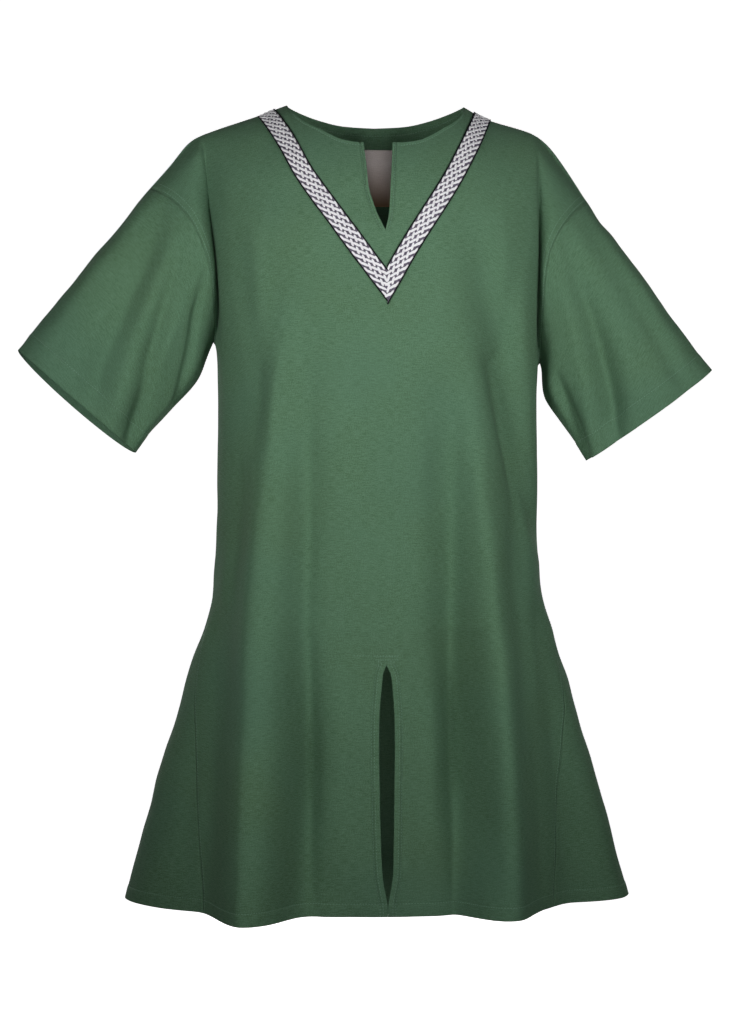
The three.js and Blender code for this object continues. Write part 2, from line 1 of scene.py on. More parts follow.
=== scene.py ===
"""Viking shirt, worn and filled out: cotton panels, braid, label, stitching and a plain stage.

Laid out as an add-on. The form functions work in millimetres, in the frame of the part:
+Z up, the chest towards -Y, and the origin midway between the shoulder neck points.
"""

import math

import bmesh
import bpy
import numpy as np
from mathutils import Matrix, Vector


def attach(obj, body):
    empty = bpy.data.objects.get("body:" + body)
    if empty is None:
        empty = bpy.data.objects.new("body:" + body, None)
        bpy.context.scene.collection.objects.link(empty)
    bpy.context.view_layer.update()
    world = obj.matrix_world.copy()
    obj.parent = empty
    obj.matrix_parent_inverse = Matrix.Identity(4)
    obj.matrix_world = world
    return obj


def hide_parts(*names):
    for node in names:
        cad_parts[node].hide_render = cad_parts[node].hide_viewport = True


bl_info = {
    "name": "Viking Shirt",
    "version": (1, 0, 0),
    "blender": (4, 5, 0),
    "location": "View3D > Sidebar > Viking Shirt",
    "description": "Builds a worn cotton tunic with braid, gores, folds and stitching",
    "category": "Add Mesh",
}

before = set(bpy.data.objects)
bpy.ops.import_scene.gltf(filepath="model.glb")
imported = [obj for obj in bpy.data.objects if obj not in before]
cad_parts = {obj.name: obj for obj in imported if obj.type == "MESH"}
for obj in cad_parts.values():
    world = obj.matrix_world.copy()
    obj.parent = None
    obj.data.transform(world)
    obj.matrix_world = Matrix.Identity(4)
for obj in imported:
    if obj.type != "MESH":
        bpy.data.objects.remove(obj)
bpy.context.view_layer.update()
MM = 0.001

# ---- sizes of the form, in millimetres ----
HEM_Z = -897
HIP_Z = -548
MIDDLE_UNDERARM_Z = -279
GORE_HALF_WIDTH = 160
NECK_HALF = {"left": 104, "right": 98}
NECK_FULL = 104
BACK_DROP = 46
CROWN = 10
ROUND_FROM_Z = -170
ROUND_POWER = 1.75
SLIT_UP = 0.5556
SLIT_SPREAD = 70
LIP_OFF = 9
CAP_WIDTH = 9
RELAX = 120
NECK_SHARE = 5 / 8
INNER_POWER = 1.9
OUTER_POWER = 1.4
SECTION_STEPS = 128


def table(columns, *rows):
    """A short table read by column name."""
    values = np.array(rows, dtype=float)
    return {name: values[:, k] for k, name in enumerate(columns.split())}


BODY = table(
    "z half front back square",
    (-897, 286, 163, 160, 2.05),
    (-760, 249, 150, 147, 2.05),
    (-640, 213, 138, 134, 2.1),
    (-545, 186, 130, 125, 2.15),
    (-420, 182, 127, 120, 2.15),
    (-300, 182, 128, 122, 2.2),
    (-200, 189, 128, 126, 2.25),
    (-100, 198, 126, 120, 2.3),
    (20, 215, 124, 116, 2.3),
)
SHOULDER = {
    "left": table("out z", (104, 0), (136, -12.5), (190, -31), (214, -43), (236, -70), (258, -95)),
    "right": table("out z", (98, 0), (122, -13), (176, -29), (194, -41), (211, -62), (240, -106)),
}
NECKLINE = {
    "front": table(
        "out z", (0, -54), (20, -53), (40, -50), (56, -44), (72, -35), (88, -25), (99, -13), (104, 0)
    ),
    "back": table("out z", (0, -17), (40, -15), (65, -10.5), (85, -5.5), (104, 0)),
}
NECK_SLIT = table(
    "z left right",
    (-154, 0, 0),
    (-139, 7.6, 3.6),
    (-123, 13, 5.2),
    (-106, 17.5, 6.4),
    (-84, 19, 8),
    (-54, 21.5, 10.5),
)
HEM_SLIT = table(
    "z left right",
    (-897, 0.05, 0.05),
    (-886, 0.15, 0.15),
    (-877, 1.6, 1.4),
    (-858, 5, 5),
    (-838, 6.4, 6.2),
    (-779, 7.9, 7.5),
    (-690, 8, 8.6),
    (-646, 4.4, 6),
    (-635, 2.6, 3.8),
    (-629, 0, 0),
)
ARMHOLE = {
    "left": table(
        "up out z deep",
        (0, 187, -268, 0),
        (0.12, 185.5, -250, 22),
        (0.3, 188, -214, 46),
        (0.45, 192, -184, 58),
        (0.62, 204, -152, 62),
        (0.75, 217, -130, 56),
        (0.87, 235, -111, 40),
        (0.95, 249, -101, 23),
        (1, 258, -95, 0),
    ),
    "right": table(
        "up out z deep",
        (0, 187, -290, 0),
        (0.12, 185.5, -271, 20),
        (0.3, 184.5, -228, 44),
        (0.45, 186, -187, 58),
        (0.62, 195, -158, 62),
        (0.75, 207, -138, 56),
        (0.87, 221, -122, 40),
        (0.95, 232, -112, 23),
        (1, 240, -106, 0),
    ),
}
CREASE = {
    "left": table(
        "up out deep",
        (0, 184, 9),
        (0.12, 181, 9),
        (0.3, 181, 15),
        (0.45, 185, 25),
        (0.62, 191, 33),
        (0.8, 198, 35),
        (0.92, 203, 27),
        (1, 208, 0),
    ),
    "right": table(
        "up out deep",
        (0, 184, 9),
        (0.12, 181, 13),
        (0.3, 180, 28),
        (0.45, 180, 39),
        (0.62, 179, 44),
        (0.8, 179, 42),
        (0.92, 181, 31),
        (1, 184, 0),
    ),
}
CUFF = {
    "left": {"top": (407, -279), "bottom": (276, -393), "half": 56, "back_lower": 8},
    "right": {"top": (384, -299), "bottom": (241, -402), "half": 54, "back_lower": 5},
}
SLEEVE_IN = table(
    "along left right",
    (0, 0, 0),
    (0.15, 5.5, 4.5),
    (0.36, 13, 14),
    (0.6, 8, 9),
    (0.85, 1.5, 3),
    (1, 0, 0),
)

# folds that reach the hem: the same rows as in the solid
FLUTES = {
    "front": table(
        "side top_z out_top out_hem bow high mid fade wide_top wide_hem lean",
        (-1, -215, 103, 138, 8, 76, 12, 2.4, 40, 70, 0.08),
        (1, -270, 84, 110, 11, 66, 10, 2.1, 34, 56, 0.28),
        (1, -560, 170, 226, 0, -28, 0, 1.4, 30, 80, 0),
    ),
    "back": table(
        "side top_z out_top out_hem bow high mid fade wide_top wide_hem lean",
        (-1, -250, 70, 104, 12, 58, 5, 2.2, 24, 46, 0.2),
        (1, -270, 92, 122, 10, 74, 5, 2.6, 24, 50, 0),
        (1, -420, 8, 16, 6, 8, 3, 1.5, 24, 46, 0),
        (-1, -580, 176, 222, 0, -26, 0, 1.4, 30, 70, 0),
    ),
}

# soft creases that start and end on the cloth
CREASES = {
    "front": table(
        "side top_z low_z out_top out_low bow high wide inner",
        (-1, -205, -430, 106, 120, 0, 4.5, 9, 1),
        (-1, -215, -420, 130, 138, 0, -4.5, 10, 1),
        (-1, -280, -1000, 110, 120, 0, 17.0, 36, 0.6),
        (-1, -240, -820, 88, 92, 0, -9.0, 11, 1.4),
        (-1, -520, -840, 100, 84, 0, -6.0, 10, 1.3),
        (-1, -600, -1010, 79, 108, 0, -22.0, 14, 1.3),
        (-1, -600, -900, 42, 50, 0, 3.2, 14, 1),
        (-1, -560, -890, 26, 30, 0, -3.0, 12, 1),
        (-1, -100, -330, 166, 138, 0, -4.5, 9, 1),
        (-1, -120, -380, 142, 120, 4, 3.6, 14, 1),
        (-1, -270, -520, 44, 54, 3, 2.2, 18, 1),
        (-1, -420, -760, 158, 176, 5, 3.0, 16, 1),
        (-1, -640, -890, 196, 226, 0, -4.0, 15, 1),
        (1, -110, -520, 92, 186, 0, -24.0, 24, 1.2),
        (1, -260, -620, 150, 156, 0, -8.0, 14, 1.6),
        (1, -270, -1000, 96, 140, 0, 6.0, 28, 0.6),
        (1, -290, -900, 75, 88, 2, -23.0, 13, 2.6),
        (1, -540, -1010, 86, 108, 3, -30.0, 15, 2.2),
        (1, -110, -330, 160, 128, 0, -4.4, 10, 1),
        (1, -190, -380, 156, 164, 2, 4.2, 9, 1),
        (1, -230, -600, 38, 46, -3, 2.2, 18, 1),
        (1, -600, -890, 52, 58, 2, 2.8, 18, 1),
        (1, -580, -890, 30, 34, 0, -2.6, 13, 1),
        (1, -440, -760, 148, 168, 3, 3.0, 15, 1),
        (1, -620, -890, 190, 222, 0, -4.0, 16, 1),
    ),
    "back": table(
        "side top_z low_z out_top out_low bow high wide inner",
        (-1, -90, -330, 160, 128, 0, -4.0, 11, 1),
        (1, -100, -360, 156, 122, 0, -4.2, 12, 1),
        (-1, -330, -700, 96, 110, 5, -6.0, 15, 1),
        (1, -360, -760, 60, 72, 4, -5.5, 15, 1),
        (-1, -200, -620, 34, 30, -4, 4.2, 20, 1),
        (1, -420, -880, 100, 96, 3, -5.0, 14, 1),
        (-1, -560, -895, 62, 74, 2, -6.5, 16, 1),
        (1, -160, -460, 118, 132, 4, 4.0, 14, 1),
        (-1, -430, -800, 150, 166, 4, 5.0, 16, 1),
        (1, -470, -810, 158, 172, 2, 4.5, 14, 1),
        (1, -250, -600, 84, 120, 8, -4.5, 10, 1),
        (-1, -620, -890, 130, 150, 0, -5.5, 13, 1),
    ),
}

# pressed lines across the front of the skirt
PRESSED = table("z out wide high", (-589, 130, 4.5, 0.9), (-618, 44, 4.5, -0.8))

CUFF_CALM = 0.45

# creases of a sleeve: from a place to a place, as the turn round from the top (front
# first, 0 to 1) and the distance along from the armhole to the cuff (0 to 1)
SLEEVE_CREASES = {
    "left": table(
        "turn_from along_from turn_to along_to high wide",
        (0.05, 0.00, 0.12, 0.95, 5.0, 16),
        (0.12, 0.05, 0.28, 1.00, -17.0, 19),
        (0.18, 0.05, 0.35, 1.00, 7.0, 14),
        (0.20, 0.05, 0.43, 1.00, -13.0, 12),
        (0.30, 0.02, 0.47, 0.62, -8.0, 9),
        (0.30, 0.20, 0.37, 0.90, 5.0, 11),
        (0.43, 0.30, 0.45, 1.00, 3.0, 10),
        (0.58, 0.05, 0.64, 0.95, 4.5, 13),
        (0.68, 0.05, 0.69, 1.00, -8.0, 14),
        (0.76, 0.10, 0.75, 1.00, 4.0, 14),
        (0.88, 0.00, 0.84, 0.85, -6.0, 14),
    ),
    "right": table(
        "turn_from along_from turn_to along_to high wide",
        (0.06, 0.00, 0.12, 0.90, 5.0, 15),
        (0.17, 0.00, 0.36, 1.00, -23.0, 17),
        (0.24, 0.00, 0.43, 1.00, 3.0, 12),
        (0.10, 0.30, 0.17, 1.00, -5.0, 13),
        (0.40, 0.35, 0.47, 1.00, -14.0, 10),
        (0.44, 0.20, 0.45, 1.00, 3.0, 9),
        (0.62, 0.05, 0.64, 1.00, 4.5, 14),
        (0.70, 0.00, 0.69, 1.00, -8.0, 12),
        (0.78, 0.00, 0.75, 0.95, 4.2, 15),
        (0.90, 0.05, 0.86, 0.90, -6.0, 13),
    ),
}

BRAID_PATH = {
    "left": table("out z", (127, -11.3), (107, -49), (86, -92), (29, -174), (-1.9, -215)),
    "right": table("out z", (118.5, -11.6), (97.5, -54), (74, -97), (27.5, -170), (1.9, -215)),
}
BRAID_POINT_X = 1.9


RIPPLES = table(
    "turn wide high",
    (0.25, 74, 0.55),
    (-0.3, 57, 0.42),
    (0.7, 91, 0.5),
    (1.2, 118, 0.45),
    (-0.9, 66, 0.3),
    (0.05, 41, 0.22),
    (0.45, 33, 0.14),
    (-0.55, 27, 0.1),
    (1.5, 49, 0.12),
)


# ---- arithmetic ----
def lerp(a, b, t):
    return a + (b - a) * t


def clamp(t):
    return np.clip(t, 0.0, 1.0)


def ease(t):
    return clamp(t) ** 2 * (3 - 2 * clamp(t))


def read(rows, key, at, column):
    """Smooth reading of one column of a table, at places along its key column."""
    keys, values = rows[key], rows[column]
    slope = np.gradient(values, keys) if len(keys) < 2 else np.empty(len(keys))
    slope[1:-1] = (values[2:] - values[:-2]) / (keys[2:] - keys[:-2])
    slope[0] = (values[1] - values[0]) / (keys[1] - keys[0])
    slope[-1] = (values[-1] - values[-2]) / (keys[-1] - keys[-2])
    i = np.clip(np.searchsorted(keys, at, side="right") - 1, 0, len(keys) - 2)
    step = keys[i + 1] - keys[i]
    t = clamp((at - keys[i]) / step)
    rise = values[i + 1] - values[i]
    bend = t * (1 - t) * ((1 - t) * (slope[i] * step - rise) - t * (slope[i + 1] * step - rise))
    return values[i] + rise * t + bend


# ---- form of the body ----
def section(face, z):
    """Half width, depth and squareness of the plain section at each height."""
    return read(BODY, "z", z, "half"), read(BODY, "z", z, face), read(BODY, "z", z, "square")


def arcs(face, z):
    """Points of the quarter section at each height and the length from the centre to each."""
    half, deep, square = (value[:, None] for value in section(face, z))
    angle = np.linspace(0, math.pi / 2, SECTION_STEPS + 1)[None, :]
    x = half * np.sin(angle) ** (2 / square)
    d = deep * np.maximum(0, np.cos(angle)) ** (2 / square)
    steps = np.hypot(np.diff(x, axis=1), np.diff(d, axis=1))
    length = np.concatenate([np.zeros((len(z), 1)), np.cumsum(steps, axis=1)], axis=1)
    return x, d, length


def pick(rows, index, t):
    row = np.arange(len(rows))
    return lerp(rows[row, index], rows[row, index + 1], t)


def cut_at(face, z):
    """What length_at needs to know of the sections at some heights."""
    half, _, square = section(face, z)
    return half, square, arcs(face, z)[2]


def length_at(cut, out):
    """Length along the section from the centre to a place seen from the front."""
    half, square, length = cut
    angle = np.arcsin(clamp(out / half) ** (square / 2)) / (math.pi / 2) * SECTION_STEPS
    index = np.clip(angle.astype(int), 0, SECTION_STEPS - 1)
    return pick(length, index, angle - index)


def place_at(face, z, along):
    """Place on the section at a length from the centre."""
    x, d, length = arcs(face, z)
    index = np.clip((length < along[:, None]).sum(axis=1) - 1, 0, SECTION_STEPS - 1)
    row = np.arange(len(z))
    step = length[row, index + 1] - length[row, index]
    t = clamp((along - length[row, index]) / step)
    return pick(x, index, t), pick(d, index, t)


def profile(q):
    """Round towards the middle of the body, more like a roof towards its side."""
    power = np.where(q > 0, OUTER_POWER, INNER_POWER)
    return (1 - np.minimum(1, np.abs(q)) ** power) ** 2


def fold_height(face, side, z, along):
    """Sum of the flutes and creases at each place, outwards from the plain section."""
    total = np.zeros(len(z))
    cut = cut_at(face, z)
    flutes, creases = FLUTES[face], CREASES[face]
    for k in range(len(flutes["side"])):
        fold = {name: column[k] for name, column in flutes.items()}
        t = clamp((fold["top_z"] - z) / (fold["top_z"] - HEM_Z))
        out = lerp(fold["out_top"], fold["out_hem"], t) + fold["bow"] * 4 * t * (1 - t)
        wide = lerp(fold["wide_top"], fold["wide_hem"], t)
        high = fold["high"] * t ** fold["fade"] + fold["mid"] * np.sin(math.pi * t)
        centre = length_at(cut, out)
        off = along * side * fold["side"] - centre
        total += high * profile(off / (wide * (1 + fold["lean"] * np.sign(off))))
    for k in range(len(creases["side"])):
        fold = {name: column[k] for name, column in creases.items()}
        t = clamp((fold["top_z"] - z) / (fold["top_z"] - fold["low_z"]))
        out = lerp(fold["out_top"], fold["out_low"], t) + fold["bow"] * 4 * t * (1 - t)
        centre = length_at(cut, out)
        off = along * side * fold["side"] - centre
        q = off / (fold["wide"] * np.where(off > 0, 1, fold["inner"]))
        total += fold["high"] * np.sin(math.pi * t) ** 1.3 * np.exp(-(q**2))
    return total


def ripple(x, y, z):
    """Small uneven wrinkles of worn cotton, a fixed sum of soft waves."""
    wave = np.zeros(len(x))
    for turn, wide, high in zip(RIPPLES["turn"], RIPPLES["wide"], RIPPLES["high"]):
        a, b = math.cos(turn), math.sin(turn)
        bent = z * b + 0.18 * wide * np.sin(z / wide * 0.9 + turn * 3)
        wave += high * np.sin((x * a + bent) * 2 * math.pi / wide + turn * 5)
        wave += high * 0.6 * np.sin((y * a + bent * 1.3) * 2 * math.pi / wide + turn * 7)
    patch = np.sin(x / 61 + 1.3) * np.sin(z / 83 + y / 97) + 0.5 * np.sin(z / 41 + x / 53)
    return wave * (0.65 + 0.35 * patch)


def hem_drop(face, x, z):
    """How far the back hangs lower than the front, most at the middle of its hem."""
    if face == "front":
        return 0 * z
    low = clamp((HIP_Z - z) / (HIP_Z - HEM_Z))
    return BACK_DROP * low * ease(1 - np.abs(x) / BODY["half"][0])


def place(face, side, x, d, z):
    return np.stack([side * x, -d if face == "front" else d, z], axis=-1)


def body_point(face, side, z, along):
    """Point of the body below the underarm, along the section from the centre."""
    half, deep, square = section(face, z)
    x, d = place_at(face, z, along)
    nx = (x / half) ** (square - 1) / half
    nd = (d / deep) ** (square - 1) / deep
    size = np.hypot(nx, nd)
    high = fold_height(face, side, z, along)
    high = high + ripple(side * x, d if face == "back" else -d, z)
    low_z = z - hem_drop(face, x, z)
    return place(face, side, x + high * nx / size, d + high * nd / size, low_z)


def shoulder_z(side, out):
    name = "left" if side < 0 else "right"
    neck = NECK_HALF[name]
    sloped = read(SHOULDER[name], "out", np.maximum(out, neck), "z")
    return np.where(out < neck, CROWN * (1 - (out / neck) ** 2), sloped)


def chest_depth(face, side, out, z):
    """Depth of the chest or the shoulder blades at a place seen from the front."""
    half, deep, square = section(face, z)
    flat = deep * np.maximum(0, 1 - (out / half) ** square) ** (1 / square)
    top = shoulder_z(side, out)
    t = clamp((z - ROUND_FROM_Z) / (top - ROUND_FROM_Z))
    high = fold_height(face, side, z, length_at(cut_at(face, z), out))
    high = high + ripple(side * out, deep if face == "back" else -deep, z) * clamp((top - z) / 40)
    return flat * (1 - t**ROUND_POWER) ** (1 / ROUND_POWER) + high


def slit_off(rows, side, z):
    off = read(rows, "z", z, "left" if side < 0 else "right")
    if rows is NECK_SLIT:
        return np.where(z < rows["z"][0], 0.0, off)
    return np.where(z > rows["z"][-1], 0.0, off)


def chest_column(side, share):
    name = "left" if side < 0 else "right"
    low = (CREASE[name]["out"][0] - LIP_OFF) * share
    neck = NECK_HALF[name]
    under = neck * share / NECK_SHARE
    beyond = lerp(neck, CREASE[name]["out"][-1] - LIP_OFF, (share - NECK_SHARE) / (1 - NECK_SHARE))
    return low, np.where(share <= NECK_SHARE, under, beyond)


def chest_point(face, side, share, up):
    """Point of the chest between the underarm row and the neckline or shoulder."""
    name = "left" if side < 0 else "right"
    low, top = chest_column(side, share)
    plain = lerp(low, top, up)
    neck = NECK_HALF[name]
    neckline = read(NECKLINE[face], "out", np.minimum(top, neck) * NECK_FULL / neck, "z")
    top_z = np.where(top < neck, neckline, shoulder_z(side, top))
    low_z = lerp(MIDDLE_UNDERARM_Z, ARMHOLE[name]["z"][0], share**2)
    z = lerp(low_z, top_z, up)
    out = plain
    if face == "front":
        opened = slit_off(NECK_SLIT, side, z) * clamp(1 - plain / SLIT_SPREAD) ** 1.5
        out = plain + np.where(up > SLIT_UP, opened, 0.0)
    return place(face, side, out, chest_depth(face, side, out, z), z)


def cap_point(face, side, share, up):
    """Point beyond the lip: up the far wall of the crease and out to the armhole seam."""
    name = "left" if side < 0 else "right"
    seam, crease = ARMHOLE[name], CREASE[name]
    floor_z = lerp(seam["z"][0], shoulder_z(side, crease["out"][-1]), up)
    floor = place(face, side, read(crease, "up", up, "out"), read(crease, "up", up, "deep"), floor_z)
    edge = place(
        face, side, read(seam, "up", up, "out"), read(seam, "up", up, "deep"), read(seam, "up", up, "z")
    )
    point = floor + (edge - floor) * share[:, None]
    crown = 9 * np.sin(math.pi * up) * np.sin(math.pi * share)
    point[:, 1] += -crown if face == "front" else crown
    on_ridge = up >= 1
    point[on_ridge, 2] = shoulder_z(side, np.abs(point[on_ridge, 0]))
    return point


# ---- grids ----
CENTRE_FINE = 10
CENTRE_SHARE = 1 / 16
NECK_FINE = 27
SHOULDER_FINE = 17
CHEST_FINE = CENTRE_FINE + NECK_FINE + SHOULDER_FINE
LIP_FINE = 12
CAP_FINE = 11
GORE_FINE = 34
COLUMNS = np.concatenate([
    np.linspace(0, 8 * CENTRE_SHARE, CENTRE_FINE + 1),
    np.linspace(8 * CENTRE_SHARE, 8 * NECK_SHARE, NECK_FINE + 1)[1:],
    np.linspace(8 * NECK_SHARE, 8, SHOULDER_FINE + 1)[1:],
    np.linspace(8, 9, LIP_FINE + 1)[1:],
    np.linspace(9, 12, CAP_FINE + 1)[1:],
])
HEM_ROWS = np.array([0, 0.8, 2.4, 5, 7.5, 10, 12, 13, 13.6, 14.2, 15, 16.5, 19, 22.5, 26])
SKIRT_Z = HEM_Z + np.concatenate([HEM_ROWS, np.linspace(30, HIP_Z - HEM_Z, 81)])
RISES = np.linspace(0, 1, 66)[1:-1]
UPS = 1 - (1 - np.linspace(0, 1, 98)) ** 1.5


def upper_points(face, side, columns, up):
    chest = columns <= 8
    points = np.empty((len(columns), 3))
    ups = np.full(len(columns), up)
    points[chest] = chest_point(face, side, columns[chest] / 8, ups[chest])
    lip = chest_point(face, side, np.array([1.0]), np.array([up]))
    floor = cap_point(face, side, np.array([0.0]), np.array([up]))
    wall = (columns > 8) & (columns < 9)
    points[wall] = lip + (floor - lip) * (columns[wall] - 8)[:, None]
    cap = columns >= 9
    points[cap] = cap_point(face, side, (columns[cap] - 9) / 3, ups[cap])
    return points


def half_panel(face, side):
    """Rows of points of one half panel, from the hem to the top, centre line first."""
    name = "left" if side < 0 else "right"
    side_z = ARMHOLE[name]["z"][0]
    n = len(COLUMNS)
    first = upper_points(face, side, COLUMNS, 0.0)
    whole = arcs(face, np.array([side_z]))[2][0, -1]
    chest = length_at(cut_at(face, np.full(n, side_z)), np.abs(first[:, 0]))
    cap = whole - (12 - COLUMNS) * CAP_WIDTH / 3
    lip = chest[COLUMNS <= 8][-1]
    wall = lerp(lip, whole - CAP_WIDTH, clamp(COLUMNS - 8))
    shares = np.where(COLUMNS <= 8, chest, np.where(COLUMNS < 9, wall, cap)) / whole
    even = np.concatenate([
        np.linspace(0, CENTRE_SHARE, CENTRE_FINE + 1),
        np.linspace(CENTRE_SHARE, 1, n - CENTRE_FINE)[1:],
    ])
    reach = clamp(COLUMNS / 8) ** 2

    def low_row(z):
        length = arcs(face, z)[2][:, -1]
        gore = GORE_HALF_WIDTH * clamp((HIP_Z - z) / (HIP_Z - HEM_Z))
        share = lerp(shares, even, ease((side_z - z) / RELAX))
        points = body_point(face, side, z, share * (length - gore))
        if face == "front":
            points[:, 0] += side * slit_off(HEM_SLIT, side, z) * clamp(1 - even * 3)
        return points

    rows = [low_row(np.full(n, z)) for z in SKIRT_Z]
    top = lerp(MIDDLE_UNDERARM_Z, side_z, reach)
    rows += [low_row(lerp(HIP_Z, top, rise)) for rise in RISES]
    rows += [upper_points(face, side, COLUMNS, up) for up in UPS]
    return np.array(rows)


def gore_grid(side):
    rows = []
    turn = np.linspace(-1, 1, 2 * GORE_FINE + 1)
    for z in SKIRT_Z:
        width = GORE_HALF_WIDTH * (HIP_Z - z) / (HIP_Z - HEM_Z)
        heights = np.full(len(turn), z)
        front = arcs("front", heights)[2][:, -1] - width * np.abs(turn)
        back = arcs("back", heights)[2][:, -1] - width * np.abs(turn)
        ahead = body_point("front", side, heights, front)
        behind = body_point("back", side, heights, back)
        rows.append(np.where((turn < 0)[:, None], ahead, behind))
    grid = np.array(rows)
    return grid + outward(grid) * hem_lift(grid)[..., None]


def soften(grid, passes, weight, around=False):
    """Evens out a grid, keeping its edges; weight says how much at each point."""
    for _ in range(passes):
        if around:
            mean = (np.roll(grid, 1, axis=1) + np.roll(grid, -1, axis=1)) / 2
            inner = (grid[2:] + grid[:-2]) / 4 + mean[1:-1] / 2
            grid[1:-1] += (inner - grid[1:-1]) * weight[1:-1, :, None]
        else:
            inner = (grid[2:, 1:-1] + grid[:-2, 1:-1] + grid[1:-1, 2:] + grid[1:-1, :-2]) / 4
            grid[1:-1, 1:-1] += (inner - grid[1:-1, 1:-1]) * weight[1:-1, 1:-1, None]
    return grid


def seam_shape(inset, line, turned=0.5, groove=0.6, pucker=0.0):
    """Lift of a turned edge: full width up to the stitch line, sunk along the stitches."""
    hem = turned * ease((line + 2.2 - inset) / 2.2)
    sink = groove * np.exp(-(((inset - line) / 1.3) ** 2))
    gathered = pucker * np.exp(-np.abs(inset - line) / 7)
    return hem - sink + gathered


def puckers(places):
    """Uneven little waves across a line of sewing, by distance along it."""
    return 0.5 * np.sin(places / 2.4) + 0.35 * np.sin(places / 3.9 + 1) + 0.3 * np.sin(places / 8.3 + 2)


def soft_panel(face, side):
    grid = half_panel(face, side)
    lower = len(SKIRT_Z) + len(RISES)
    weight = np.zeros(grid.shape[:2])
    weight[lower - 20 :, CHEST_FINE - 8 :] = 0.6
    weight[lower - 6 : lower + 6, :] = 0.5
    return sewn_panel(soften(grid, 8, weight), face)


def girth_place(grid):
    """Distance along each row from the middle of the piece."""
    return np.concatenate([
        np.zeros((len(grid), 1)), np.cumsum(np.linalg.norm(np.diff(grid, axis=1), axis=-1), axis=1)
    ], axis=1)


def hem_lift(grid):
    """Lift of the turned hem over the skirt rows of a piece."""
    above = (SKIRT_Z - HEM_Z)[:, None]
    wave = puckers(grid[: len(SKIRT_Z), :, 0] * 1.2)
    return seam_shape(above, HEM_INSET, pucker=0.35 * wave)


def sewn_panel(grid, face):
    """Gives a half panel the shape of its hem, its slits, its neckline and its seams."""
    lift = np.zeros(grid.shape[:2])
    waist, lower = len(SKIRT_Z), len(SKIRT_Z) + len(RISES)
    lift[:waist] += hem_lift(grid)
    across = girth_place(grid)
    up = np.concatenate([
        np.zeros((1, grid.shape[1])), np.cumsum(np.linalg.norm(np.diff(grid, axis=0), axis=-1), axis=0)
    ])
    under = up[-1:] - up
    neck = np.zeros(grid.shape[1])
    neck[: CENTRE_FINE + NECK_FINE] = 1
    line = NECK_INSET if face == "front" else BACK_NECK_INSET
    trim = seam_shape(under, line, pucker=0.25 * puckers(across * 1.1))
    if face == "front":
        slit = np.zeros(len(grid))
        slit[lower:] = ease((UPS - SLIT_UP) / 0.02)
        slit[:waist] = SKIRT_Z < HEM_SLIT["z"][-1]
        inset = np.where(np.arange(len(grid)) < waist, SLIT_INSETS[1], NECK_INSET)[:, None]
        edge = seam_shape(across, inset, groove=2.0, pucker=0.7 * puckers(up * 1.1)) * slit[:, None]
        top = trim * neck
        lift[lower:] += np.where(np.abs(top) > np.abs(edge), top, edge)[lower:]
        lift[:waist] += edge[:waist] * ease(SKIRT_Z - HEM_Z - 8)[:, None]
    else:
        lift[lower:] += (trim * neck)[lower:]
    if face == "front":
        for k in range(len(PRESSED["z"])):
            level, out, wide, high = (PRESSED[key][k] for key in ("z", "out", "wide", "high"))
            crest = high * np.exp(-(((SKIRT_Z - level) / wide) ** 2))[:, None]
            beside = np.abs(grid[:waist, :, 0])
            lift[:waist] += crest * ease((out - beside) / 20) * clamp(beside / 4)
    from_seam = across[:, -1:] - across
    for inset in SEAM_INSETS:
        sink = 0.4 * np.exp(-(((from_seam - inset) / 1.2) ** 2)) - 0.25 * puckers(up) * np.exp(-from_seam / 7)
        lift[lower:] -= sink[lower:]
    lift[:waist] -= 0.35 * np.exp(-(((from_seam - SEAM_INSETS[0]) / 1.3) ** 2))[:waist]
    edge_fade = np.ones_like(lift)
    edge_fade[:, -1] = 0.3
    edge_fade[:waist, -1] = 1
    return grid + outward(grid) * (lift * edge_fade)[..., None]


def even_ring(ring, count):
    """A closed ring of points, respaced evenly from its first point."""
    loop = np.concatenate([ring, ring[:1]])
    length = np.concatenate([[0], np.cumsum(np.linalg.norm(np.diff(loop, axis=0), axis=1))])
    at = np.linspace(0, length[-1], count + 1)[:-1]
    return np.stack([np.interp(at, length, loop[:, k]) for k in range(3)], axis=-1), at / length[-1]


SLEEVE_ROUND = 168
SLEEVE_ROWS = np.concatenate([
    np.linspace(0, 0.89, 56),
    1 - np.array([0.104, 0.1, 0.097, 0.094, 0.088, 0.075, 0.058, 0.04, 0.022, 0.008, 0]),
])


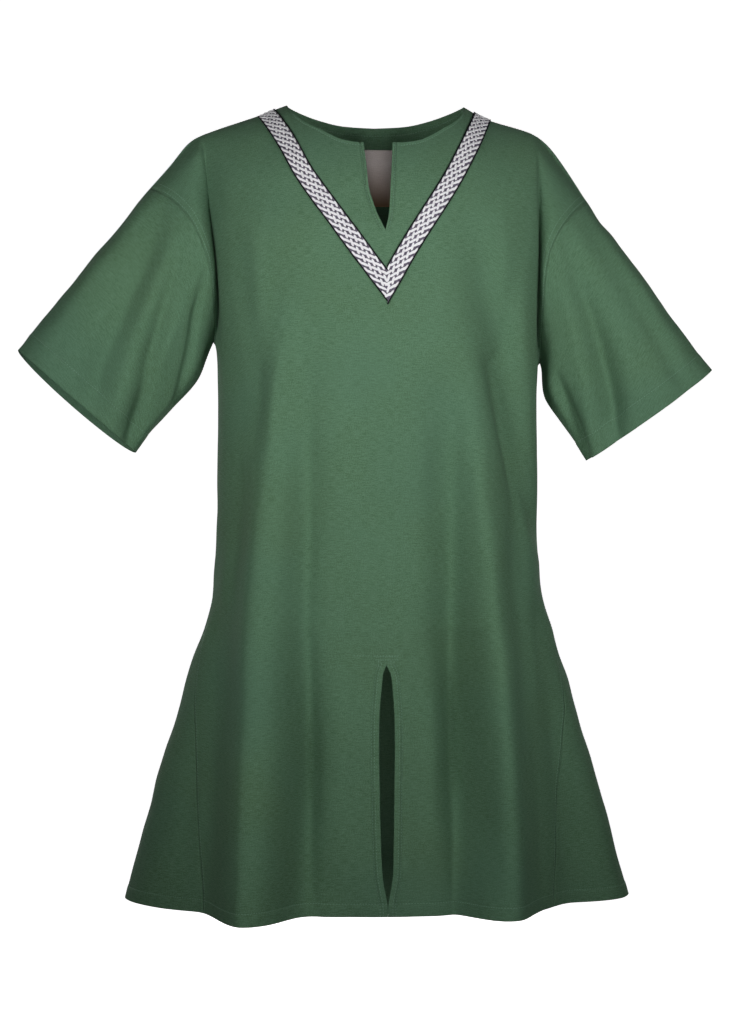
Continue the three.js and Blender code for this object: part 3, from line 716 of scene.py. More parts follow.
def sleeve_grid(panels, side):
    name = "left" if side < 0 else "right"
    count = len(UPS)
    edges = [panels[face, name][-count:, -1] for face in ("front", "back")]
    ring, turn = even_ring(np.concatenate([edges[0][::-1], edges[1][1:-1]]), SLEEVE_ROUND)
    cuff = CUFF[name]
    top = np.array([side * cuff["top"][0], 0, cuff["top"][1]])
    bottom = np.array([side * cuff["bottom"][0], 0, cuff["bottom"][1]])
    upward = (top - bottom) / 2
    axis = np.array([-upward[2], 0, upward[0]]) / np.linalg.norm(upward)
    axis = -axis if axis[2] > 0 else axis
    angle = 2 * math.pi * turn
    end = (top + bottom) / 2 + upward * np.cos(angle)[:, None]
    end[:, 1] -= cuff["half"] * np.sin(angle)
    end += axis * (cuff["back_lower"] * np.maximum(0, -np.sin(angle)))[:, None]
    rows = []
    for along in SLEEVE_ROWS:
        drawn = read(SLEEVE_IN, "along", np.array([along]), name)[0]
        row = ring + (end - ring) * along
        row[:, 0] -= side * drawn * clamp(-np.cos(angle)) ** 1.5
        rows.append(row)
    grid = np.array(rows)
    normal = grid_normals(grid, around=True)
    outward = np.sign(np.sum(normal * (grid - grid.mean(axis=1, keepdims=True)), axis=-1).mean())
    lift = sleeve_lift(name, turn, grid)
    length = np.concatenate([
        np.zeros((1, grid.shape[1])), np.cumsum(np.linalg.norm(np.diff(grid, axis=0), axis=-1), axis=0)
    ])
    round_place = girth_place(grid)
    lift += seam_shape(length[-1:] - length, CUFF_INSET, pucker=0.35 * puckers(round_place))
    lift += 0.4 * puckers(round_place * 0.8) * np.exp(-length / 8) * clamp(SLEEVE_ROWS * 30)[:, None]
    return grid + normal * (outward * lift)[..., None]


def sleeve_lift(name, turn, grid):
    """Height of the creases of a sleeve over its plain tube."""
    along = SLEEVE_ROWS[:, None]
    girth, length = 440.0, 240.0
    lift = np.zeros(grid.shape[:2])
    creases = SLEEVE_CREASES[name]
    for k in range(len(creases["high"])):
        fold = {key: column[k] for key, column in creases.items()}
        t = clamp((along - fold["along_from"]) / (fold["along_to"] - fold["along_from"]))
        centre = lerp(fold["turn_from"], fold["turn_to"], t)
        off = (turn[None, :] - centre) * girth
        open_end = fold["along_to"] >= 1
        fade = np.sin(math.pi / 2 * t) ** 0.8 if open_end else np.sin(math.pi * t) ** 0.7
        fade = fade * (1 - CUFF_CALM * ease((along - 0.8) / 0.2))
        lift += fold["high"] * fade * np.exp(-((off / fold["wide"]) ** 2))
    wrinkle = ripple(grid[..., 0].ravel(), grid[..., 1].ravel(), grid[..., 2].ravel() * length / 200)
    lift += wrinkle.reshape(lift.shape) * clamp(along * 8)
    return lift


def grid_normals(grid, around=False):
    rows = np.gradient(grid, axis=0)
    if around:
        columns = (np.roll(grid, -1, axis=1) - np.roll(grid, 1, axis=1)) / 2
    else:
        columns = np.gradient(grid, axis=1)
    normal = np.cross(columns, rows)
    return normal / np.maximum(1e-9, np.linalg.norm(normal, axis=-1, keepdims=True))


def outward(grid, around=False):
    """Unit normals of a grid that point away from the wearer."""
    normal = grid_normals(grid, around)
    centre = grid.mean(axis=1, keepdims=True) if around else np.array([0, 0, 1]) * grid
    return normal * np.sign(np.sum(normal * (grid - centre), axis=-1).mean())


# ---- lines of sewing ----
def inset_line(grid, edge, inset, around=False):
    """Points and normals at a distance in from one edge of a grid."""
    turned = {
        "hem": lambda g: g.swapaxes(0, 1),
        "top": lambda g: g[::-1].swapaxes(0, 1),
        "centre": lambda g: g,
        "side": lambda g: g[:, ::-1],
    }[edge]
    lines, normals = turned(grid), turned(outward(grid, around))
    length = np.concatenate([
        np.zeros((len(lines), 1)), np.cumsum(np.linalg.norm(np.diff(lines, axis=1), axis=-1), axis=1)
    ], axis=1)
    k = np.clip((length < inset).sum(axis=1) - 1, 0, lines.shape[1] - 2)
    row = np.arange(len(lines))
    t = ((inset - length[row, k]) / np.maximum(1e-6, length[row, k + 1] - length[row, k]))[:, None]
    return lerp(lines[row, k], lines[row, k + 1], t), lerp(normals[row, k], normals[row, k + 1], t)


def spaced(line, normals, spacing, lift, first=0.5, closed=False):
    """Places for the stitches of a line: points, directions along and directions up."""
    if closed:
        line, normals = np.concatenate([line, line[:1]]), np.concatenate([normals, normals[:1]])
    length = np.concatenate([[0], np.cumsum(np.linalg.norm(np.diff(line, axis=0), axis=1))])
    at = np.arange(first * spacing, length[-1], spacing)

    def along(values, where):
        return np.stack([np.interp(where, length, values[:, k]) for k in range(3)], axis=-1)

    up = along(normals, at)
    up /= np.linalg.norm(up, axis=-1, keepdims=True)
    ahead = along(line, at + spacing / 3) - along(line, at - spacing / 3)
    return along(line, at) + up * lift, ahead, up


def thread_tree():
    """One rounded thread at every point, turned along its line and leaned about its normal."""
    tree = bpy.data.node_groups.get("rows of threads")
    if tree:
        return tree
    tree = bpy.data.node_groups.new("rows of threads", "GeometryNodeTree")
    tree.interface.new_socket("Geometry", in_out="INPUT", socket_type="NodeSocketGeometry")
    for name in ("Length", "Width", "Height", "Lean"):
        tree.interface.new_socket(name, in_out="INPUT", socket_type="NodeSocketFloat")
    tree.interface.new_socket("Rounding", in_out="INPUT", socket_type="NodeSocketInt")
    tree.interface.new_socket("Material", in_out="INPUT", socket_type="NodeSocketMaterial")
    tree.interface.new_socket("Geometry", in_out="OUTPUT", socket_type="NodeSocketGeometry")
    nodes, links = tree.nodes, tree.links
    inside, outside = nodes.new("NodeGroupInput"), nodes.new("NodeGroupOutput")
    cube = nodes.new("GeometryNodeMeshCube")
    size = nodes.new("ShaderNodeCombineXYZ")
    for axis, name in enumerate(("Length", "Width", "Height")):
        links.new(inside.outputs[name], size.inputs[axis])
    links.new(size.outputs[0], cube.inputs["Size"])
    rounded = nodes.new("GeometryNodeSubdivisionSurface")
    links.new(cube.outputs["Mesh"], rounded.inputs["Mesh"])
    links.new(inside.outputs["Rounding"], rounded.inputs["Level"])
    turned = None
    for name, axis, pivot in (("along", "X", "AUTO"), ("up", "Z", "X")):
        attribute = nodes.new("GeometryNodeInputNamedAttribute")
        attribute.data_type = "FLOAT_VECTOR"
        attribute.inputs["Name"].default_value = name
        align = nodes.new("FunctionNodeAlignRotationToVector")
        align.axis, align.pivot_axis = axis, pivot
        links.new(attribute.outputs["Attribute"], align.inputs["Vector"])
        if turned:
            links.new(turned, align.inputs["Rotation"])
        turned = align.outputs["Rotation"]
    lean = nodes.new("ShaderNodeCombineXYZ")
    links.new(inside.outputs["Lean"], lean.inputs["Z"])
    leaned = nodes.new("FunctionNodeRotateRotation")
    leaned.rotation_space = "LOCAL"
    links.new(turned, leaned.inputs["Rotation"])
    links.new(lean.outputs[0], leaned.inputs["Rotate By"])
    instances = nodes.new("GeometryNodeInstanceOnPoints")
    links.new(inside.outputs["Geometry"], instances.inputs["Points"])
    links.new(rounded.outputs["Mesh"], instances.inputs["Instance"])
    links.new(leaned.outputs["Rotation"], instances.inputs["Rotation"])
    real = nodes.new("GeometryNodeRealizeInstances")
    smooth = nodes.new("GeometryNodeSetShadeSmooth")
    coloured = nodes.new("GeometryNodeSetMaterial")
    links.new(instances.outputs["Instances"], real.inputs["Geometry"])
    links.new(real.outputs["Geometry"], smooth.inputs["Geometry"])
    links.new(smooth.outputs["Geometry"], coloured.inputs["Geometry"])
    links.new(inside.outputs["Material"], coloured.inputs["Material"])
    links.new(coloured.outputs["Geometry"], outside.inputs["Geometry"])
    return tree


def thread_mesh(name, runs, size, lean, rounding, material):
    """A plain mesh of threads from places worked out along lines."""
    points, along, up = (np.concatenate([run[k] for run in runs]) for k in range(3))
    guide = bpy.data.meshes.new(name + " places")
    guide.from_pydata((points * MM).tolist(), [], [])
    for label, values in (("along", along), ("up", up)):
        layer = guide.attributes.new(label, "FLOAT_VECTOR", "POINT")
        layer.data.foreach_set("vector", values.astype(np.float32).ravel())
    holder = bpy.data.objects.new(name, guide)
    bpy.context.scene.collection.objects.link(holder)
    tree = thread_tree()
    modifier = holder.modifiers.new("threads", "NODES")
    modifier.node_group = tree
    values = dict(zip(("Length", "Width", "Height"), size))
    values.update({"Lean": lean, "Rounding": rounding, "Material": material})
    for item in tree.interface.items_tree:
        if item.in_out == "INPUT" and item.name in values:
            modifier[item.identifier] = values[item.name]
    depsgraph = bpy.context.evaluated_depsgraph_get()
    mesh = bpy.data.meshes.new_from_object(holder.evaluated_get(depsgraph), depsgraph=depsgraph)
    bpy.data.objects.remove(holder)
    bpy.data.meshes.remove(guide)
    if not len(mesh.polygons):
        raise RuntimeError(f"no threads were made for {name}")
    return mesh


def thread_object(name, meshes):
    """One object from the meshes of several sets of threads."""
    whole = bmesh.new()
    materials = []
    for mesh in meshes:
        material = mesh.materials[-1]
        if material not in materials:
            materials.append(material)
        index = materials.index(material)
        mesh.polygons.foreach_set("material_index", [index] * len(mesh.polygons))
        whole.from_mesh(mesh)
        bpy.data.meshes.remove(mesh)
    joined = bpy.data.meshes.new(name)
    for material in materials:
        joined.materials.append(material)
    whole.to_mesh(joined)
    whole.free()
    piece = bpy.data.objects.new(name, joined)
    bpy.context.scene.collection.objects.link(piece)
    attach(piece, "root")
    return piece


# ---- meshes ----
def cloth_object(name, grids, around=False, flips=()):
    """One mesh from grids that share edge points; its UV map is the cloth in metres."""
    points, faces, uvs = [], [], []
    for grid, flip in zip(grids, flips):
        base = sum(len(p) for p in points)
        rows, columns = grid.shape[:2]
        points.append(grid.reshape(-1, 3))
        index = np.arange(rows * columns).reshape(rows, columns) + base
        after = np.roll(index, -1, axis=1) if around else index[:, 1:]
        here = index if around else index[:, :-1]
        quads = np.stack([here[:-1], after[:-1], after[1:], here[1:]], axis=-1).reshape(-1, 4)
        across = np.concatenate([
            np.zeros((rows, 1)), np.cumsum(np.linalg.norm(np.diff(grid, axis=1), axis=-1), axis=1)
        ], axis=1)
        down = np.concatenate([
            np.zeros((1, columns)), np.cumsum(np.linalg.norm(np.diff(grid, axis=0), axis=-1), axis=0)
        ], axis=0)
        sign = -1 if flip else 1
        uv = np.stack([across * sign, down], axis=-1).reshape(-1, 2) * MM
        corner_uv = uv[quads - base]
        if around:
            last = np.arange(len(quads)) % columns == columns - 1
            span = across[:, -1].mean() * MM + np.linalg.norm(grid[0, 0] - grid[0, -1]) * MM
            corner_uv[last, 1:3, 0] = sign * span
        faces.append(quads[:, ::-1] if flip else quads)
        uvs.append(corner_uv[:, ::-1] if flip else corner_uv)
    points = np.concatenate(points) * MM
    faces, uvs = np.concatenate(faces), np.concatenate(uvs)
    keys = np.round(points / 2e-5).astype(np.int64)
    _, first, inverse = np.unique(keys, axis=0, return_index=True, return_inverse=True)
    inverse = inverse.reshape(-1)
    faces = inverse[faces]
    mesh = bpy.data.meshes.new(name)
    kept_faces, kept_uvs = [], []
    for face, uv in zip(faces.tolist(), uvs.tolist()):
        keep = [k for k in range(4) if face[k] != face[k - 1]]
        if len(keep) > 2:
            kept_faces.append([face[k] for k in keep])
            kept_uvs.extend(uv[k] for k in keep)
    mesh.from_pydata(points[first].tolist(), [], kept_faces)
    layer = mesh.uv_layers.new(name="cloth")
    layer.data.foreach_set("uv", np.array(kept_uvs).ravel())
    mesh.polygons.foreach_set("use_smooth", [True] * len(mesh.polygons))
    mesh.update()
    piece = bpy.data.objects.new(name, mesh)
    bpy.context.scene.collection.objects.link(piece)
    return piece


def thicken(piece, thickness):
    wall = piece.modifiers.new("cloth wall", "SOLIDIFY")
    wall.thickness = thickness
    wall.offset = 0
    wall.use_even_offset = False


def finish(piece, node, material):
    piece.data.materials.append(material)
    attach(piece, "root")
    if node:
        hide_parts(node)


# ---- materials ----
def new_group(name, inputs, outputs):
    group = bpy.data.node_groups.get(name)
    if group:
        return group, False
    group = bpy.data.node_groups.new(name, "ShaderNodeTree")
    for label, kind, value in inputs:
        socket = group.interface.new_socket(label, in_out="INPUT", socket_type=kind)
        socket.default_value = value
    for label, kind in outputs:
        group.interface.new_socket(label, in_out="OUTPUT", socket_type=kind)
    return group, True


def math_node(tree, operation, first, second=None):
    node = tree.nodes.new("ShaderNodeMath")
    node.operation = operation
    for socket, value in zip(node.inputs, (first, second)):
        if isinstance(value, (int, float)):
            socket.default_value = value
        elif value is not None:
            tree.links.new(value, socket)
    return node.outputs[0]


# streaks of thicker yarn across and along the cloth: streaks per metre each way, share of the mask
SLUBS = (((110.0, 1100.0, 1.0), 0.35), ((1300.0, 140.0, 1.0), 0.15))
GRAIN_SHARE = 0.5


def weave_group():
    """Twill weave: height of the yarns, and a mask of uneven dye and slubs."""
    group, fresh = new_group(
        "twill weave",
        [
            ("Coordinates", "NodeSocketVector", (0, 0, 0)),
            ("Yarns per Metre", "NodeSocketFloat", 1300.0),
            ("Cloud Scale", "NodeSocketFloat", 14.0),
        ],
        [("Height", "NodeSocketFloat"), ("Grain", "NodeSocketFloat"), ("Cloud", "NodeSocketFloat")],
    )
    if not fresh:
        return group
    nodes, links = group.nodes, group.links
    inside = nodes.new("NodeGroupInput")
    outside = nodes.new("NodeGroupOutput")
    split = nodes.new("ShaderNodeSeparateXYZ")
    links.new(inside.outputs["Coordinates"], split.inputs[0])
    warp = math_node(group, "MULTIPLY", split.outputs[0], inside.outputs["Yarns per Metre"])
    weft = math_node(group, "MULTIPLY", split.outputs[1], inside.outputs["Yarns per Metre"])
    diagonal = math_node(group, "SINE", math_node(group, "ADD", warp, weft))
    yarn = math_node(group, "SINE", math_node(group, "MULTIPLY", warp, 2.0))
    grain = nodes.new("ShaderNodeTexNoise")
    grain.inputs["Scale"].default_value = 900.0
    grain.inputs["Detail"].default_value = 3.0
    links.new(inside.outputs["Coordinates"], grain.inputs["Vector"])
    cloud = nodes.new("ShaderNodeTexNoise")
    cloud.inputs["Detail"].default_value = 4.0
    links.new(inside.outputs["Coordinates"], cloud.inputs["Vector"])
    links.new(inside.outputs["Cloud Scale"], cloud.inputs["Scale"])
    streaks = 0.0
    for stretch, share in SLUBS:
        stretched = nodes.new("ShaderNodeVectorMath")
        stretched.operation = "MULTIPLY"
        stretched.inputs[1].default_value = stretch
        links.new(inside.outputs["Coordinates"], stretched.inputs[0])
        slub = nodes.new("ShaderNodeTexNoise")
        slub.inputs["Scale"].default_value = 1.0
        slub.inputs["Detail"].default_value = 2.0
        links.new(stretched.outputs[0], slub.inputs["Vector"])
        streak = math_node(group, "MULTIPLY", slub.outputs["Fac"], share)
        streaks = math_node(group, "ADD", streak, streaks)
    speckle = math_node(group, "MULTIPLY", grain.outputs["Fac"], GRAIN_SHARE)
    speckle = math_node(group, "ADD", streaks, speckle)
    height = math_node(group, "MULTIPLY", diagonal, 0.5)
    height = math_node(group, "ADD", height, math_node(group, "MULTIPLY", yarn, 0.25))
    height = math_node(group, "ADD", height, grain.outputs["Fac"])
    links.new(height, outside.inputs["Height"])
    links.new(speckle, outside.inputs["Grain"])
    links.new(cloud.outputs["Fac"], outside.inputs["Cloud"])
    return group


def new_material(name, roughness, sheen=0.0, sheen_roughness=0.5):
    material = bpy.data.materials.get(name)
    if material:
        return material, None, None
    material = bpy.data.materials.new(name)
    material.use_nodes = True
    tree = material.node_tree
    shader = tree.nodes["Principled BSDF"]
    shader.inputs["Roughness"].default_value = roughness
    shader.inputs["Specular IOR Level"].default_value = 0.06
    shader.inputs["Sheen Weight"].default_value = sheen
    shader.inputs["Sheen Roughness"].default_value = sheen_roughness
    return material, tree, shader


def mix_colours(tree, factor, first, second):
    mix = tree.nodes.new("ShaderNodeMix")
    mix.data_type = "RGBA"
    if isinstance(factor, float):
        mix.inputs["Factor"].default_value = factor
    else:
        tree.links.new(factor, mix.inputs["Factor"])
    for value, socket in ((first, mix.inputs[6]), (second, mix.inputs[7])):
        if hasattr(value, "is_linked"):
            tree.links.new(value, socket)
        else:
            socket.default_value = (*value[:3], 1)
    return mix.outputs[2]


def ramp(tree, value, low, high):
    node = tree.nodes.new("ShaderNodeMapRange")
    node.inputs["From Min"].default_value = low
    node.inputs["From Max"].default_value = high
    tree.links.new(value, node.inputs["Value"])
    return node.outputs["Result"]


def bump(tree, shader, height, strength, distance):
    node = tree.nodes.new("ShaderNodeBump")
    node.inputs["Strength"].default_value = strength
    node.inputs["Distance"].default_value = distance
    tree.links.new(height, node.inputs["Height"])
    tree.links.new(node.outputs["Normal"], shader.inputs["Normal"])


def woven_material(name, colours, yarns, roughness, sheen, bump_depth, coordinates="UV"):
    """Cloth of one colour: dark between the yarns, light on their tops, unevenly dyed."""
    material, tree, shader = new_material(name, roughness, sheen)
    if not tree:
        return material
    where = tree.nodes.new("ShaderNodeTexCoord")
    weave = tree.nodes.new("ShaderNodeGroup")
    weave.node_tree = weave_group()
    weave.inputs["Yarns per Metre"].default_value = yarns
    tree.links.new(where.outputs[coordinates], weave.inputs["Coordinates"])
    base, light, dark = colours
    cloudy = mix_colours(tree, ramp(tree, weave.outputs["Cloud"], 0.35, 0.7), base, dark)
    colour = mix_colours(tree, ramp(tree, weave.outputs["Grain"], 0.42, 0.58), cloudy, light)
    tree.links.new(colour, shader.inputs["Base Color"])
    bump(tree, shader, weave.outputs["Height"], 0.5, bump_depth)
    return material


def label_material():
    """Pale woven tape with painted shade: it turns dark brown towards its lower end, standing in for the
    shadow inside the back neck.
    """
    material = woven_material("label weave", LABEL_COLOURS, LABEL_YARNS, 0.8, 0, 0.0001)
    tree = material.node_tree
    shader = tree.nodes["Principled BSDF"]
    pale = shader.inputs["Base Color"].links[0].from_socket
    where = tree.nodes.new("ShaderNodeTexCoord")
    split = tree.nodes.new("ShaderNodeSeparateXYZ")
    tree.links.new(where.outputs["Object"], split.inputs[0])
    # painted shade: the tape darkens to brown from a quarter of its height down to its lower edge
    high = LABEL["top"] - LABEL["high"] * LABEL_SHADE_FROM
    down = ramp(tree, split.outputs[2], high * MM, (LABEL["top"] - LABEL["high"]) * MM)
    tree.links.new(mix_colours(tree, down, pale, LABEL_PAINTED_SHADE), shader.inputs["Base Color"])
    return material


def plain_thread(name, colour, roughness):
    material, tree, shader = new_material(name, roughness)
    if tree:
        shader.inputs["Base Color"].default_value = (*colour, 1)
    return material


# ---- braid and label ----
LABEL = {"wide": 50, "high": 62, "top": -38, "thick": 0.5}
LABEL_LIFT = 1.1
# painted shade on the label: where it begins, as a share of the height from the top, and its brown at the
# lower end
LABEL_SHADE_FROM = 0.25
LABEL_PAINTED_SHADE = (0.26, 0.15, 0.085)
LABEL_COLOURS = ((0.80, 0.70, 0.68), (0.88, 0.78, 0.76), (0.72, 0.62, 0.60))
LABEL_YARNS = 6500.0
BRAID_YARNS = 9000.0
BRAID_THICK = 0.9
BRAID_LIFT = 1.25
YARN_LIFT = 1.75
EDGE_OFF = 10.2
EDGE_STEP = 1.5
EDGE_SIZE = (2.6, 1.9, 1.9)
FLOATS = table(
    "across phase lean long wide high",
    (-5.7, 0.25, 27, 11.0, 3.4, 1.9),
    (0, 0.25, 27, 11.0, 3.4, 1.9),
    (5.7, 0.25, 27, 11.0, 3.4, 1.9),
    (-2.85, 0.75, -14.5, 11.0, 3.4, 1.8),
    (2.85, 0.75, -14.5, 11.0, 3.4, 1.8),
    (-8.1, 0.75, 8, 9.6, 2.8, 1.7),
    (8.1, 0.75, -8, 9.6, 2.8, 1.7),
)


def panel_depth(face, x, z):
    """Depth of the chest or shoulder blades under each place seen from the front."""
    depth = np.empty(x.shape)
    for side in (-1, 1):
        here = x * side >= 0
        out = np.abs(x[here])
        top = shoulder_z(side, out) - 0.4
        depth[here] = chest_depth(face, side, out, np.minimum(z[here], top))
    return depth


def on_panel(face, x, z):
    """Points and outward normals of a panel under places seen from the front."""
    sign = -1 if face == "front" else 1
    flat_x, flat_z = x.ravel(), z.ravel()
    step = 0.8
    depth = panel_depth(face, flat_x, flat_z)
    slope_x = (panel_depth(face, flat_x + step, flat_z) - panel_depth(face, flat_x - step, flat_z)) / 2 / step
    slope_z = (panel_depth(face, flat_x, flat_z + step) - panel_depth(face, flat_x, flat_z - step)) / 2 / step
    normal = np.stack([-slope_x, np.full(len(depth), sign), -slope_z], axis=-1)
    normal /= np.linalg.norm(normal, axis=-1, keepdims=True)
    point = np.stack([flat_x, sign * depth, flat_z], axis=-1)
    return point.reshape(*x.shape, 3), normal.reshape(*x.shape, 3)


def braid_path(side, count=240):
    """Centre line of one leg, seen from the front, with the direction across it."""
    rows = BRAID_PATH["left" if side < 0 else "right"]
    x = side * rows["out"]
    x[-1] = BRAID_POINT_X
    z = rows["z"]
    length = np.concatenate([[0], np.cumsum(np.hypot(np.diff(x), np.diff(z)))])
    bent = {"s": length, "x": x, "z": z}
    s = length[-1] * np.linspace(0, 1, count) ** 1.25
    line = np.stack([read(bent, "s", s, "x"), read(bent, "s", s, "z")], axis=-1)
    step = np.gradient(line, axis=0)
    step /= np.linalg.norm(step, axis=-1, keepdims=True)
    across = np.stack([-step[:, 1], step[:, 0]], axis=-1) * -side
    return line, step, across


def braid_line(side, off):
    """Line along a leg at a distance from its centre, cut off at the mitre."""
    line, step, across = braid_path(side)
    line, ahead = line + across * off, step[-1]
    tail = line[-1] + ahead * np.linspace(1, 40, 60)[:, None]
    line = np.concatenate([line, tail])
    inside = (line[:, 0] - BRAID_POINT_X) * side > 0
    kept = line[: np.argmin(inside)] if not inside.all() else line
    last, after = kept[-1], line[len(kept)]
    t = (BRAID_POINT_X - last[0]) / (after[0] - last[0])
    return np.concatenate([kept, [last + (after - last) * t]])


def braid_ground(side, width):
    columns = []
    for off in np.linspace(-width / 2, width / 2, 11):
        line = braid_line(side, off)
        length = np.concatenate([[0], np.cumsum(np.linalg.norm(np.diff(line, axis=0), axis=1))])
        at = length[-1] * np.linspace(0, 1, 140) ** 1.25
        columns.append(np.stack([np.interp(at, length, line[:, k]) for k in (0, 1)], axis=-1))
    flat = np.array(columns).swapaxes(0, 1)
    grid, normal = on_panel("front", flat[..., 0], flat[..., 1])
    return grid + normal * BRAID_LIFT


def braid_run(side, off, step, phase, lift):
    line = braid_line(side, off)
    points, normals = on_panel("front", line[:, 0], line[:, 1])
    return spaced(points, normals, step, lift, first=phase)


# ---- sewing lines of the shirt ----
HEM_INSET = 14
CUFF_INSET = 24
SEAM_INSETS = (2.5, 8.5)
NECK_INSET = 4
BACK_NECK_INSET = 10
SLIT_INSETS = (5.2, 8.5)
THREAD_LIFT = 0.62
BAR_TACK = {"left": -12, "right": 14, "low": -629, "high": -619, "rows": 4}
CROSS_LINE = {"left": -36, "right": 14, "z": -618}


def stitch_runs(spacing):
    """Places of every stitch, piece by piece."""
    runs = {}
    waist = len(SKIRT_Z)
    lower = waist + len(RISES)
    neck = CENTRE_FINE + NECK_FINE + 1
    for face in ("front", "back"):
        lines = []
        for name in ("left", "right"):
            grid = made[face, name]
            skirt, upper = grid[:waist], grid[lower:]
            lines.append(inset_line(skirt, "hem", HEM_INSET))
            lines.append(inset_line(skirt, "side", SEAM_INSETS[0]))
            lines += [inset_line(upper, "side", inset) for inset in SEAM_INSETS]
            lines.append(inset_line(upper[:, neck:], "top", SEAM_INSETS[0]))
            if face == "front":
                lines.append(inset_line(upper[:, :neck], "top", NECK_INSET))
                slit = upper[UPS > SLIT_UP]
                lines.append(inset_line(slit, "centre", NECK_INSET))
                split = grid[:waist][SKIRT_Z < HEM_SLIT["z"][-1] + 6]
                lines += [inset_line(split, "centre", inset) for inset in SLIT_INSETS]
        runs[f"stitches_{face}"] = [spaced(*line, spacing, THREAD_LIFT) for line in lines]
    inner = []
    for name in ("left", "right"):
        upper = made["back", name][lower:]
        line, normal = inset_line(upper[:, :neck], "top", BACK_NECK_INSET)
        runs["stitches_back"].append(spaced(line, normal, spacing, THREAD_LIFT))
        inner.append(spaced(line, -normal, spacing, THREAD_LIFT))
    runs["stitches_back"] += inner
    runs["stitches_front"] += cross_stitches(spacing)
    for name in ("left", "right"):
        gore, sleeve = made["gore", name], made["sleeve", name]
        line = inset_line(gore[:, 1:-1], "hem", HEM_INSET)
        runs[f"stitches_gore_{name}"] = [spaced(*line, spacing, THREAD_LIFT)]
        cuff = inset_line(sleeve, "top", CUFF_INSET, around=True)
        runs[f"stitches_sleeve_{name}"] = [spaced(*cuff, spacing, THREAD_LIFT, closed=True)]
    return runs


def skirt_line(x_from, x_to, z):
    """Level line on the front panel of the skirt, with its normals."""
    at = np.linspace(x_from, x_to, 40)
    line, normal = [], []
    for x in at:
        side = -1 if x < 0 else 1
        name = "left" if side < 0 else "right"
        grid = made["front", name][: len(SKIRT_Z)]
        row = np.argmin(np.abs(SKIRT_Z - z))
        k = int(np.clip(np.searchsorted(np.abs(grid[row, :, 0]), abs(x)), 1, grid.shape[1] - 2))
        line.append([x, grid[row, k, 1], z])
        normal.append(outward(grid[row - 1 : row + 2])[1, k])
    return np.array(line), np.array(normal)


def cross_stitches(spacing):
    """The line over the hem slit and the close bar tack beside it."""
    lines = [skirt_line(CROSS_LINE["left"], CROSS_LINE["right"], CROSS_LINE["z"])]
    runs = [spaced(*line, spacing, THREAD_LIFT) for line in lines]
    for z in np.linspace(BAR_TACK["low"], BAR_TACK["high"], BAR_TACK["rows"]):
        line = skirt_line(BAR_TACK["left"], BAR_TACK["right"], z)
        runs.append(spaced(*line, spacing * 0.8, THREAD_LIFT))
    return runs


# ---- settings ----
class ShirtCloth(bpy.types.PropertyGroup):
    """Sizes and colours of the cloth."""

    thickness: bpy.props.FloatProperty(
        name="Thickness", description="Thickness of the cotton", default=0.0012, min=0.0005, unit="LENGTH"
    )
    colour: bpy.props.FloatVectorProperty(
        name="Cotton", description="Colour of the dyed cotton", default=(0.071, 0.144, 0.082), subtype="COLOR"
    )
    light: bpy.props.FloatVectorProperty(
        name="Yarn Tops",
        description="Lighter tops of the yarns",
        default=(0.112, 0.212, 0.131),
        subtype="COLOR",
    )
    shade: bpy.props.FloatVectorProperty(
        name="Deep Dye",
        description="Darker patches of the dye",
        default=(0.064, 0.128, 0.066),
        subtype="COLOR",
    )


class ShirtStitching(bpy.types.PropertyGroup):
    """Sizes and colour of the sewing thread."""

    spacing: bpy.props.FloatProperty(
        name="Spacing", description="Distance from stitch to stitch", default=0.0032, min=0.001, unit="LENGTH"
    )
    length: bpy.props.FloatProperty(
        name="Length", description="Length of one stitch", default=0.0026, min=0.001, unit="LENGTH"
    )
    width: bpy.props.FloatProperty(
        name="Width", description="Width of the thread", default=0.0008, min=0.0002, unit="LENGTH"
    )
    colour: bpy.props.FloatVectorProperty(
        name="Thread", description="Colour of the thread", default=(0.150, 0.262, 0.185), subtype="COLOR"
    )


class ShirtBraid(bpy.types.PropertyGroup):
    """Sizes and colours of the braid round the neck."""

    width: bpy.props.FloatProperty(
        name="Width", description="Width of the braid", default=0.021, min=0.005, unit="LENGTH"
    )
    repeat: bpy.props.FloatProperty(
        name="Repeat",
        description="Length of one repeat of the plait",
        default=0.0108,
        min=0.004,
        unit="LENGTH",
    )
    yarn: bpy.props.FloatVectorProperty(
        name="Yarn", description="Colour of the raised yarns", default=(0.78, 0.77, 0.79), subtype="COLOR"
    )
    ground: bpy.props.FloatVectorProperty(
        name="Ground", description="Colour of the ground", default=(0.085, 0.075, 0.1), subtype="COLOR"
    )
    edge: bpy.props.FloatVectorProperty(
        name="Edge", description="Colour of the edge cords", default=(0.012, 0.012, 0.014), subtype="COLOR"
    )


class ShirtStage(bpy.types.PropertyGroup):
    """Camera and backdrop."""

    distance: bpy.props.FloatProperty(
        name="Distance", description="From the camera to the shirt", default=2.8, min=1, unit="LENGTH"
    )
    turn: bpy.props.FloatProperty(
        name="Turn",
        description="Angle of the camera round the shirt",
        default=math.radians(-3.7),
        subtype="ANGLE",
    )
    lens: bpy.props.FloatProperty(
        name="Lens", description="Focal length in millimetres", default=86.3, min=20
    )
    tone: bpy.props.FloatVectorProperty(
        name="Backdrop",
        description="Colour of the floor and backdrop",
        default=(0.93, 0.93, 0.93),
        subtype="COLOR",
    )


made = {}


COTTON_YARNS = 4800.0
# painted sheen and shade in slow patches scattered at random, bluish for sheen and olive for shade: patches
# per metre, where they begin and end, how strong, colour
PAINTED_SHEEN_AND_SHADE = (
    (5.0, 0.50, 0.70, 0.30, (0.074, 0.154, 0.108)),
    (7.0, 0.52, 0.72, 0.16, (0.090, 0.150, 0.072)),
)


